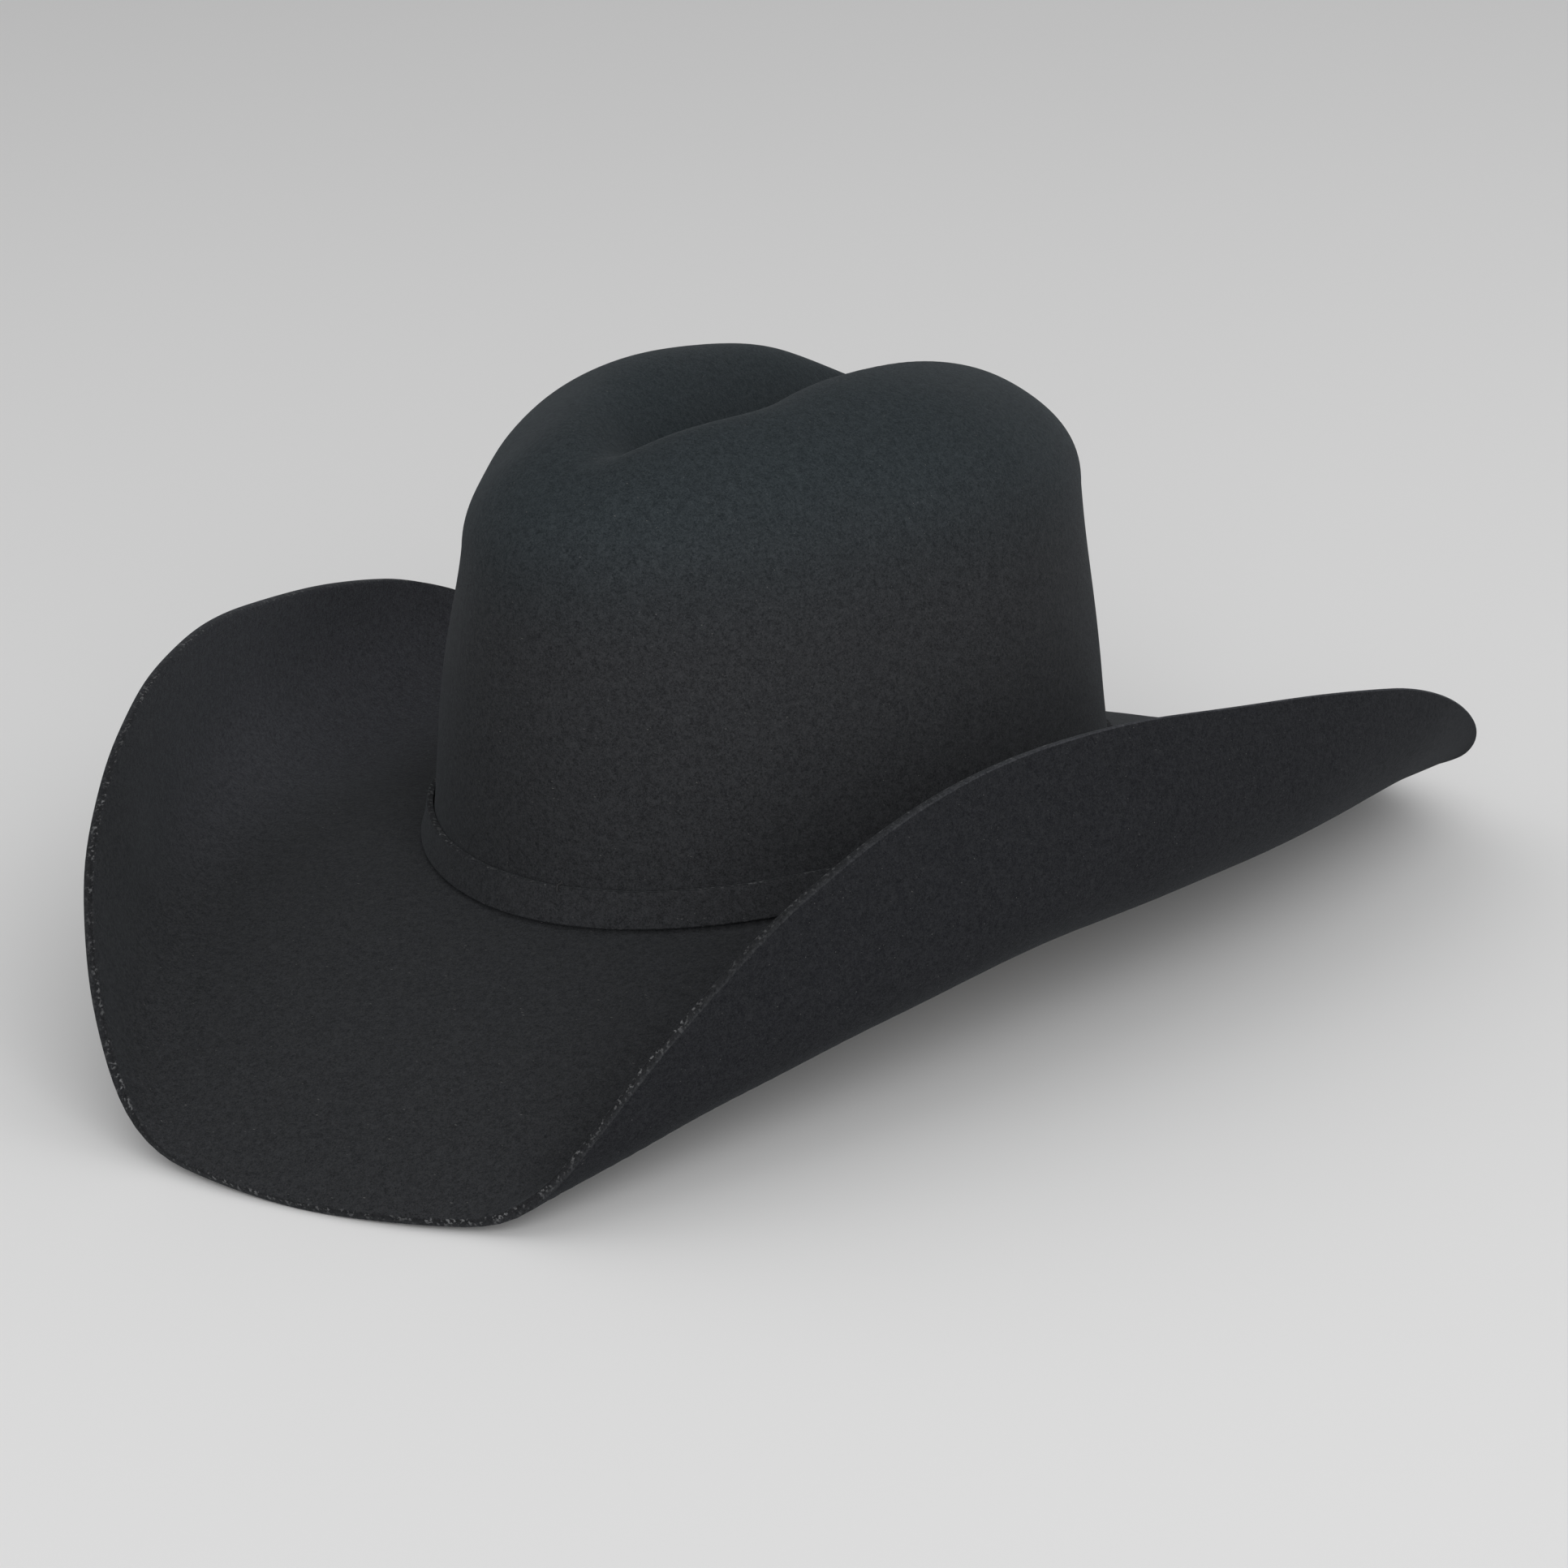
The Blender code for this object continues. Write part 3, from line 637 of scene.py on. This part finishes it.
def felt_upper(theta):
    """Rows of the felt's outer face, from the middle of the top to the cut edge of the brim."""
    radius, z = crown_profile(46, 34)
    crown = crown_point(theta[None], radius[:, None], z[:, None])
    shift = unevenness(crown) * smooth((z - 14 * MM) / (22 * MM))[:, None]
    crown = crown + shift[..., None] * grid_normals(crown)
    turn = QUARTER_TURN[:, None]
    step_out = FOOT_RADIUS * (1 - np.cos(turn)) - base_flare(FOOT_RADIUS) * np.cos(turn)
    foot = brim_point(*np.broadcast_arrays(theta[None], step_out / brim_width(theta)))
    foot[..., 2] += FOOT_RADIUS * (1 - np.sin(turn))
    first, last = FOOT_RADIUS / brim_width(theta), 1 - EDGE_ROUNDING / brim_width(theta)
    share = first + (last - first) * np.linspace(0, 1, 53)[1:, None]
    brim = brim_point(*np.broadcast_arrays(theta[None], share))
    rows = np.concatenate([crown, foot, brim])
    shift = np.zeros(rows.shape[:2])
    shift[-len(brim):] = unevenness(brim) * smooth(share / 0.25)
    return rows + shift[..., None] * grid_normals(rows)


def cut_edge(rows, normals):
    """Rows round the brim's cut edge: two small roundings with the flat of the cut between them."""
    outward = unit(rows[-1] - rows[-2])
    up = normals[-1]
    flat = FELT - 2 * EDGE_ROUNDING
    found = []
    for angle in QUARTER_TURN:
        turned = outward * math.sin(angle) - up * (1 - math.cos(angle))
        found.append(rows[-1] + EDGE_ROUNDING * turned)
    for share in (0.33, 0.67, 1.0):
        found.append(rows[-1] + EDGE_ROUNDING * (outward - up) - flat * share * up)
    for angle in QUARTER_TURN[:-1]:
        down = EDGE_ROUNDING + flat + EDGE_ROUNDING * math.sin(angle)
        found.append(rows[-1] + EDGE_ROUNDING * outward * math.cos(angle) - up * down)
    return np.array(found)


def capped_grid(rows):
    """Points and faces of a grid whose first and last rows each close to one point."""
    count, columns = rows.shape[:2]
    points = np.concatenate([rows[:1, 0], rows[1:-1].reshape(-1, 3), rows[-1:, 0]])
    end = len(points) - 1
    faces = [(0, 1 + j, 1 + (j + 1) % columns) for j in range(columns)]
    inner = grid_faces(count - 2, columns, wrap_columns=True, flip=True)
    faces += [tuple(1 + k for k in face) for face in inner]
    start = end - columns
    faces += [(end, start + (j + 1) % columns, start + j) for j in range(columns)]
    return points, faces


def felt_hat():
    theta = np.linspace(0, TURN, FELT_COLUMNS, endpoint=False)
    upper = felt_upper(theta)
    normals = grid_normals(upper)
    under = (upper - FELT * normals)[::-1]
    edge = cut_edge(upper, normals)
    points, faces = capped_grid(np.concatenate([upper, edge, under]))
    felt = new_mesh("felt_hat", points, faces, FELT_LOOK, ["felt_body"])
    mark_cut_and_painted_light(felt, points, 1 + (len(upper) - 1) * FELT_COLUMNS)


def mark_cut_and_painted_light(felt, points, first):
    """Tells the felt's material where the cut is, and where it paints shade below the brim and light on the
    rolls and the crown's top.
    """
    last = first + len(CUT_EDGE_WEIGHTS) * FELT_COLUMNS
    near_edge, below = np.zeros(len(points)), np.zeros(len(points))
    near_edge[first:last] = np.repeat(CUT_EDGE_WEIGHTS, FELT_COLUMNS)
    below[last:] = 1.0
    side, rear, high = np.abs(points[:, 0]), points[:, 1], points[:, 2]
    # The rear corners, where the painted shade below the brim grows stronger.
    corner = smooth((side - CORNER_FROM) / CORNER_OVER) * smooth((rear - REAR_FROM) / REAR_OVER)
    set_values(felt, "cut_edge", near_edge)
    set_values(felt, "painted_underside_shade", below * (PAINTED_SHADE_SHARE + (1 - PAINTED_SHADE_SHARE) * corner))
    # Where the painted light on the rolled sides grows in.
    set_values(felt, "painted_roll_light", (1 - below) * smooth((side - ROLLED_FROM) / ROLLED_OVER))
    # Where the painted cool light on the crown's top grows in.
    set_values(felt, "painted_top_light", smooth((high - TOP_FROM) / TOP_OVER))


# ---------------------------------------------------------------- pieces that follow the crown's wall

AROUND = 320


def round_theta(count=AROUND):
    return np.linspace(0, TURN, count, endpoint=False)


def rounded_section(inside, outside, bottom, top, rounding, levels=6):
    """(out, z) round a strip's section, whose corners are rounded."""
    found = []
    corners = ((outside, top, 0), (inside, top, 90), (inside, bottom, 180), (outside, bottom, 270))
    for out, z, start in corners:
        side = math.copysign(rounding, out - (inside + outside) / 2)
        rise = math.copysign(rounding, z - (bottom + top) / 2)
        turn = np.radians(start + np.array([0, 30, 60, 90]))
        found += [(out - side + rounding * math.cos(t), z - rise + rounding * math.sin(t)) for t in turn]
        if start in (90, 270):
            heights = np.linspace(z - rise, bottom + top - z + rise, levels)[1:-1]
            found += [(found[-1][0], height) for height in heights]
    return np.array(found)


def wall_ring(section, lift, push, columns=AROUND):
    """Rows of points for a section that runs right round the wall. lift and push shift its columns."""
    theta = round_theta(columns)
    out, z = section[:, :1] + push, section[:, 1:] + lift
    return wall_point(theta[None], z + 0 * theta, out + 0 * theta)


def wall_ring_piece(name, rows, look, stands_for):
    faces = grid_faces(*rows.shape[:2], wrap_rows=True, wrap_columns=True)
    return new_mesh(name, rows, faces, look, stands_for)


def shell(rows, thickness, wrap_columns=False):
    """Points and faces of a closed thin shell, from the grid of its outer face."""
    along = np.roll(rows, -1, 1) - np.roll(rows, 1, 1) if wrap_columns else np.gradient(rows, axis=1)
    normals = unit(np.cross(np.gradient(rows, axis=0), along))
    both = np.concatenate([rows, (rows - thickness * normals)[::-1]])
    count, columns = both.shape[:2]
    faces = grid_faces(count, columns, wrap_rows=True, wrap_columns=wrap_columns, flip=True)
    if not wrap_columns:
        for j, flip in ((0, False), (columns - 1, True)):
            for i in range(count // 2 - 1):
                side = tuple(k * columns + j for k in (i, i + 1, count - 2 - i, count - 1 - i))
                faces.append(side[::-1] if flip else side)
    return both, faces


def beside_wall(theta, half_axis):
    """place(along, z, out) near theta. along becomes an angle, so its length is only rough."""
    return lambda along, z, out: wall_point(theta + along / half_axis, z, out)


def inward_normals(path):
    """Unit normals of a closed flat path round the origin, that face its inside."""
    ahead = np.roll(path, -1, 0) - np.roll(path, 1, 0)
    inward = unit(np.stack([-ahead[:, 1], ahead[:, 0]], -1))
    return -inward if (path * inward).sum() > 0 else inward


def tube(name, line, radius, look, stands_for, sides=12, closed=False, across=(0.02, 0.03, 1.0)):
    """A round tube along a line of points, with rounded ends unless it is closed.

    across is any direction that the line never takes.
    """
    line = np.asarray(line)
    if closed:
        ahead = np.roll(line, -1, 0) - np.roll(line, 1, 0)
    else:
        ahead = np.gradient(line, axis=0)
    ahead = unit(ahead)
    side = unit(np.cross(ahead, np.array(across)))
    rise = np.cross(side, ahead)
    size = np.full(len(line), float(radius))
    if not closed:
        size[[0, -1]] *= 0.35
        size[[1, -2]] *= 0.85
    turn = np.linspace(0, TURN, sides, endpoint=False)
    ring = np.cos(turn)[:, None, None] * side + np.sin(turn)[:, None, None] * rise
    rows = line + size[:, None] * ring
    rows = rows.transpose(1, 0, 2)
    faces = grid_faces(*rows.shape[:2], wrap_rows=True, wrap_columns=closed)
    if not closed:
        count = rows.shape[1]
        faces.append(tuple(i * count for i in range(sides))[::-1])
        faces.append(tuple(i * count + count - 1 for i in range(sides)))
    return new_mesh(name, rows, faces, look, stands_for)


# ---------------------------------------------------------------- hat band and its bow

def hat_band():
    """A strip of the same felt. Its upper edge wanders a little, as a hand-cut edge does."""
    section = rounded_section(GAP, GAP + BAND_THICK, BAND_BOTTOM, BAND_BOTTOM + BAND_HEIGHT, BAND_ROUNDING)
    theta = round_theta()
    high = (section[:, 1:] - BAND_BOTTOM) / BAND_HEIGHT
    lift = high * ripple(theta, (3, 5, 8, 13, 21), 3) * 0.22 * MM
    push = np.maximum(ripple(theta, (2, 7, 11, 17), 4), -0.5) * 0.14 * MM + 0.07 * MM
    band = wall_ring_piece("felt_band", wall_ring(section, lift, push), BAND_LOOK, ["hat_band"])
    near_edge = smooth((np.abs(high - 0.5) - 0.46) / 0.06) * np.ones_like(theta)
    # The band's cut edges get the felt's painted darker core and pale specks, partly painted highlight.
    set_values(band, "cut_edge", near_edge)


def band_tack(name, theta):
    """A thread stitch from the felt over the band's upper edge and down its face."""
    top, face = BAND_BOTTOM + BAND_HEIGHT, GAP + BAND_THICK
    reach = GAP + 0.1 * MM + TACK_RADIUS
    knots = np.array([
        (top + 1.2 * MM, reach), (top + 0.95 * reach, 0.24 * face), (top + reach, 0.62 * face),
        (top + 0.72 * reach, face + 0.72 * reach), (top - 0.4 * MM, face + reach),
        (top - 1.3 * MM, face + reach),
    ])
    share = np.linspace(0, 1, 26)
    spots = np.linspace(0, 1, len(knots))
    z, out = (np.interp(share, spots, knots[:, k]) for k in (0, 1))
    line = wall_point(theta + 0 * z, z, out)
    across = wall_point(theta + 0.01, z[0], out[0]) - line[0]
    tube(name + "_thread", line, TACK_RADIUS, THREAD_LOOK, [name], 8, across=across)


def bow_path(half_length, waist, loops, count=112):
    """(along, out) points round a bow of two loops, with their half height."""
    turn = np.linspace(0, TURN, count, endpoint=False) + 0.001
    along = half_length * np.cos(turn)
    flare = smooth((np.abs(along) - WAIST_HALF_LENGTH) / LOOP_FLARE)
    height = waist[0] + (loops[0] - waist[0]) * flare
    thick = waist[1] + (loops[1] - waist[1]) * flare
    return np.stack([along, -thick * signed_power(np.sin(turn), BOW_SQUARENESS)], -1), height


def bow(name, sizes, place, level, out, look, stands_for):
    """A flat bow of two loops, from a strip that runs right round and is pinched at the waist."""
    half_length, waist, loops, strip = sizes
    path, height = bow_path(half_length, waist, loops)
    inward = inward_normals(path)
    section = rounded_section(0, strip, -1 * MM, 1 * MM, strip * 0.12, 7)
    rows = []
    for depth, up in section:
        spot = path + inward * depth
        rows.append(place(spot[:, 0], level + up / MM * height, out + spot[:, 1]))
    piece = wall_ring_piece(name, np.array(rows), look, stands_for)
    near_edge = smooth((np.abs(section[:, 1]) / MM - 0.9) / 0.1)
    # The bow's cut edges get the painted darker core and pale specks, partly painted highlight.
    set_values(piece, "cut_edge", np.repeat(near_edge[:, None], len(path), 1))


def keeper(name, sizes, place, level, out, look, stands_for):
    """The short strip wrapped over and under the bow's waist."""
    _, waist, _, strip = sizes
    half_height, half_thick = waist[0] + GAP + strip, waist[1] + GAP + strip
    turn = np.linspace(0, TURN, 64, endpoint=False)
    path = np.stack([
        half_height * signed_power(np.sin(turn), KEEPER_SQUARENESS),
        half_thick * signed_power(np.cos(turn), KEEPER_SQUARENESS),
    ], -1)
    inward = inward_normals(path)
    section = rounded_section(0, strip, -KEEPER_HALF_LENGTH, KEEPER_HALF_LENGTH, strip * 0.3, 6)
    rows = []
    for depth, along in section:
        spot = path + inward * depth
        rows.append(place(along + 0 * turn, level + spot[:, 0], out + spot[:, 1]))
    piece = wall_ring_piece(name, np.array(rows), look, stands_for)
    sides = smooth((np.abs(section[:, 1]) / KEEPER_HALF_LENGTH - 0.88) / 0.12)
    # The keeper's cut edges get the painted darker core and pale specks, partly painted highlight.
    set_values(piece, "cut_edge", np.repeat(sides[:, None], len(path), 1))


def band_trim():
    place = beside_wall(LEFT, HEAD_HALF_LENGTH)
    bow("felt_bow", BAND_BOW, place, BAND_BOW_LEVEL, BAND_BOW_OUT, BAND_LOOK, ["band_bow"])
    keeper("felt_keeper", BAND_BOW, place, BAND_BOW_LEVEL, BAND_BOW_OUT, BAND_LOOK, ["band_keeper"])
    for name, theta in (("front", FRONT), ("right", RIGHT), ("rear", REAR), ("left", TACK_LEFT)):
        band_tack("band_tack_" + name, theta)


# ---------------------------------------------------------------- lining

def lining_side():
    """The side of the lining: satin let into the tip's seam with small uneven gathers."""
    theta = round_theta(480)
    z = np.linspace(LINING_SEAM, LINING_BOTTOM, 30)
    gathers = 0.5 + 0.5 * ripple(theta, (31, 44, 57, 73, 90), 8)
    gathers = np.clip(gathers, 0, 1.6)
    fullness = smooth((z - SWEAT_TOP) / (26 * MM))
    depth = LINING_DEPTH + (0.15 + 0.85 * fullness[:, None]) * gathers * 0.55 * MM
    rows = wall_point(theta[None], z[:, None] + 0 * theta, -depth)
    points, faces = shell(rows, LINING_THICK, wrap_columns=True)
    side = new_mesh("satin_side", points, faces, SATIN_LOOK, ["lining_side"])


def hood_shell(name, depth, thickness, lowest, look, stands_for):
    """A thin cap that fits inside the crown, down to the level called lowest."""
    radius, z = crown_profile(40, 4)
    keep = z >= lowest
    crown = crown_point(round_theta()[None], radius[:, None], z[:, None])
    normals = grid_normals(crown)
    outer = (crown - depth * normals)[keep]
    inner = (crown - (depth + thickness) * normals)[keep]
    points, faces = capped_grid(np.concatenate([outer, inner[::-1]]))
    return new_mesh(name, points, faces, look, stands_for), outer


def lining_tip():
    tip, outer = hood_shell(
        "satin_tip", LINING_DEPTH, LINING_THICK, WALL_HEIGHT, SATIN_LOOK, ["lining_tip"]
    )


def tip_shield():
    hood_shell("clear_shield", SHIELD_DEPTH, SHIELD_THICK, SHIELD_EDGE, CLEAR_LOOK, ["tip_shield"])


def lining_piping():
    depth = LINING_DEPTH + LINING_THICK + GAP + PIPING_RADIUS
    level = (LINING_SEAM + WALL_HEIGHT) / 2
    theta = round_theta(720)
    line = wall_point(theta, level + 0 * theta, -depth + 0 * theta)
    tube("satin_piping", line, PIPING_RADIUS, SATIN_LOOK, ["lining_piping"], 10, closed=True)


# ---------------------------------------------------------------- sweatband and what is on it

def sweat_depth(z):
    """Depth of the sweatband's outer face, which leans in towards its free upper edge."""
    return SWEAT_DEPTH + SWEAT_LEAN * (np.maximum(z, 0) / SWEAT_TOP) ** 2


def sweatband():
    section = rounded_section(-SWEAT_THICK, 0, SWEAT_BOTTOM, SWEAT_TOP, 0.4 * MM, 22)
    section[:, 0] -= sweat_depth(section[:, 1])
    theta = round_theta(480)
    high = smooth((section[:, 1:] - 8 * MM) / (SWEAT_TOP - 8 * MM))
    push = -high * np.maximum(ripple(theta, (2, 3, 5, 9), 21) + 0.6, 0) * 0.35 * MM
    lift = high * ripple(theta, (2, 5, 7), 22) * 0.3 * MM
    seam = np.exp(-((theta - REAR) * HEAD_HALF_WIDTH / (1.0 * MM)) ** 2)
    inside = (section[:, :1] < -sweat_depth(section[:, 1:]) - SWEAT_THICK / 2)
    push = push + inside * seam * 0.5 * MM
    wall_ring_piece("leather_sweatband", wall_ring(section, lift, push, 480), LEATHER_LOOK, ["sweatband"])


def stitch_row(name, level, length, space, look):
    """A row of short stitches round the sweatband's inner face."""
    girth = TURN * math.sqrt((HEAD_HALF_WIDTH ** 2 + HEAD_HALF_LENGTH ** 2) / 2)
    count = round(girth / (length + space))
    share = np.linspace(-0.5, 0.5, 7)
    turn = np.linspace(0, TURN, 6, endpoint=False)
    points, faces = [], []
    for k in range(count):
        theta = TURN * (k + 0.5) / count + share * length / girth * TURN
        arch = STITCH_RADIUS * (1.15 * (1 - (2 * share) ** 4) - 0.35)
        depth = sweat_depth(level) + SWEAT_THICK + arch
        middle = wall_point(theta, level + share * 0.3 * MM, -depth)
        radius = STITCH_RADIUS * np.sqrt(np.clip(1.05 - (2 * share) ** 2, 0.05, 1))
        normal = unit(wall_point(theta, level + 0 * theta, 0 * theta) - middle)
        up = np.array([0, 0, 1.0])
        ring = middle + radius[:, None] * (
            np.cos(turn)[:, None, None] * normal + np.sin(turn)[:, None, None] * up
        )
        start = sum(len(p) for p in points)
        points.append(ring.reshape(-1, 3))
        rows, columns = len(turn), len(share)
        faces += [tuple(start + i for i in f) for f in grid_faces(rows, columns, wrap_rows=True)]
        faces.append(tuple(start + i * columns for i in range(rows))[::-1])
        faces.append(tuple(start + i * columns + columns - 1 for i in range(rows)))
    new_mesh(name, np.concatenate(points), faces, look)


def reed_point(theta, angle=0.0, radius=0.0):
    """A point round the reed, with the angle measured from the top towards the outside."""
    z = REED_LEVEL + radius * np.cos(angle)
    return wall_point(theta, z, -REED_DEPTH + radius * np.sin(angle))


def reed():
    theta = np.linspace(REAR + REED_GAP, REAR + TURN - REED_GAP, 300)
    tube("reed_core", reed_point(theta), REED_RADIUS, REED_LOOK, ["sweatband_reed"], 12)


def reed_tape():
    theta = np.linspace(REAR + TAPE_REACH, REAR + TURN - TAPE_REACH, 400)[None]
    radius = REED_RADIUS + REED_CLEAR + TAPE_THICK
    angle = np.linspace(TAPE_MOUTH, TURN - TAPE_MOUTH, 22)[:, None]
    rows = reed_point(theta + 0 * angle, angle + 0 * theta, radius)
    points, faces = shell(rows, TAPE_THICK)
    new_mesh("reed_binding", points, faces, TAPE_LOOK, ["reed_tape"])


def reed_sleeve():
    theta = np.linspace(REAR - SLEEVE_REACH, REAR + SLEEVE_REACH, 12)
    section = []
    for radius in (REED_RADIUS + REED_CLEAR + TAPE_THICK, REED_RADIUS + REED_CLEAR):
        turn = np.linspace(0, TURN, 24, endpoint=False)
        section.append(reed_point(theta[:, None] + 0 * turn, turn + 0 * theta[:, None], radius))
    rows = np.concatenate([section[0], section[1][::-1]])
    faces = grid_faces(*rows.shape[:2], wrap_rows=True, wrap_columns=True)
    new_mesh("reed_joiner", rows, faces, REED_LOOK, ["reed_sleeve"])


def flat_strip(name, theta, width, bottom, top, thick, look, stands_for):
    """A strip behind the sweatband. Its flat size is measured along its own rows and columns."""
    half_axis = HEAD_HALF_WIDTH if theta == REAR else HEAD_HALF_LENGTH
    along = np.linspace(-width / 2, width / 2, 24)[None]
    z = np.linspace(top, bottom, 16)[:, None]
    place = beside_wall(theta, half_axis)
    rows = place(along + 0 * z, z + 0 * along, -BEHIND_SWEAT + 0 * z * along)
    points, faces = shell(rows, thick)
    strip = new_mesh(name, points, faces, look, stands_for)


def sweatband_trim():
    reed()
    reed_tape()
    reed_sleeve()
    stitch_row("reed_stitches", 1.2 * MM, 2.6 * MM, 0.9 * MM, THREAD_LOOK)
    flat_strip(
        "seam_tape", REAR, SEAM_TAPE_WIDTH, 0, SWEAT_TOP - 2 * MM, SEAM_TAPE_THICK, TAPE_LOOK,
        ["sweatband_seam_tape"],
    )
    flat_strip(
        "blank_label", LABEL_ANGLE, LABEL_WIDTH, LABEL_BOTTOM, LABEL_BOTTOM + LABEL_HEIGHT,
        LABEL_THICK, PAPER_LOOK, ["size_label"],
    )
    place = beside_wall(REAR, HEAD_HALF_WIDTH)
    strip = SWEAT_BOW[3]
    out = -(SWEAT_DEPTH + SWEAT_THICK + 3 * GAP + strip + SWEAT_BOW[1][1])
    bow("ribbon_bow", SWEAT_BOW, place, SWEAT_BOW_LEVEL, out, RIBBON_LOOK, ["sweatband_bow"])
    keeper("ribbon_knot", SWEAT_BOW, place, SWEAT_BOW_LEVEL, out, RIBBON_LOOK, ["sweatband_bow_knot"])


felt_hat()
hat_band()
band_trim()
lining_side()
lining_tip()
lining_piping()
tip_shield()
sweatband()
sweatband_trim()


# ---------------------------------------------------------------- stage, light and camera

FLOOR_SIZE = 30
LIT_HEIGHT = 60 * MM
CAMERA_ANGLES = (33.09, 18.10, -4.07)  # azimuth, elevation and roll, in degrees
CAMERA_TARGET = (0.0017, 0.0122, 0.0399)
CAMERA_DISTANCE = 1.161
LENS, SENSOR = 95.44, 36  # in millimetres


def stage_floor():
    bpy.ops.mesh.primitive_plane_add(size=FLOOR_SIZE)
    floor = bpy.context.object
    floor.name = "floor"
    look = Look("", "floor", Roughness=0.8, Specular_IOR_Level=0.2)
    look.colour(look.mix(look.noise(0.8, 3.0), (0.80, 0.80, 0.80, 1), (0.815, 0.815, 0.815, 1)))
    floor.data.materials.append(look.material)


def facing_in(azimuth, elevation):
    """The turn of something that looks in from that azimuth and elevation, in degrees."""
    level = Matrix.Rotation(math.radians(azimuth), 4, "Z")
    return level @ Matrix.Rotation(math.radians(90 - elevation), 4, "X")


def soft_box(name, azimuth, elevation, distance, size, power):
    """A square soft light that looks at the hat."""
    light = bpy.data.lights.new(name, "AREA")
    light.size = size
    light.energy = power
    lamp = bpy.data.objects.new(name, light)
    bpy.context.scene.collection.objects.link(lamp)
    middle = Matrix.Translation((0, 0, LIT_HEIGHT))
    lamp.matrix_world = middle @ facing_in(azimuth, elevation) @ Matrix.Translation((0, 0, distance))


def light_studio():
    world = bpy.data.worlds.new("studio")
    bpy.context.scene.world = world
    world.use_nodes = True
    background = world.node_tree.nodes["Background"]
    background.inputs["Color"].default_value = (1, 1, 1, 1)
    background.inputs["Strength"].default_value = 0.47
    soft_box("top", -20, 68, 2.4, 2.0, 3)
    soft_box("front", 42, 20, 5.2, 4.4, 248)
    soft_box("side", 80, 48, 2.6, 2.0, 8)


def front_left_camera():
    """The camera stands in front, to the wearer's left, a little above the hat."""
    azimuth, elevation, roll = CAMERA_ANGLES
    camera = bpy.data.cameras.new("camera")
    camera.lens = LENS
    camera.sensor_width = SENSOR
    eye = bpy.data.objects.new("camera", camera)
    bpy.context.scene.collection.objects.link(eye)
    turn = facing_in(azimuth, elevation) @ Matrix.Rotation(math.radians(roll), 4, "Z")
    back = Matrix.Translation((0, 0, CAMERA_DISTANCE))
    eye.matrix_world = Matrix.Translation(CAMERA_TARGET) @ turn @ back
    bpy.context.scene.camera = eye


bpy.context.scene.view_settings.view_transform = "Standard"
stage_floor()
light_studio()
front_left_camera()
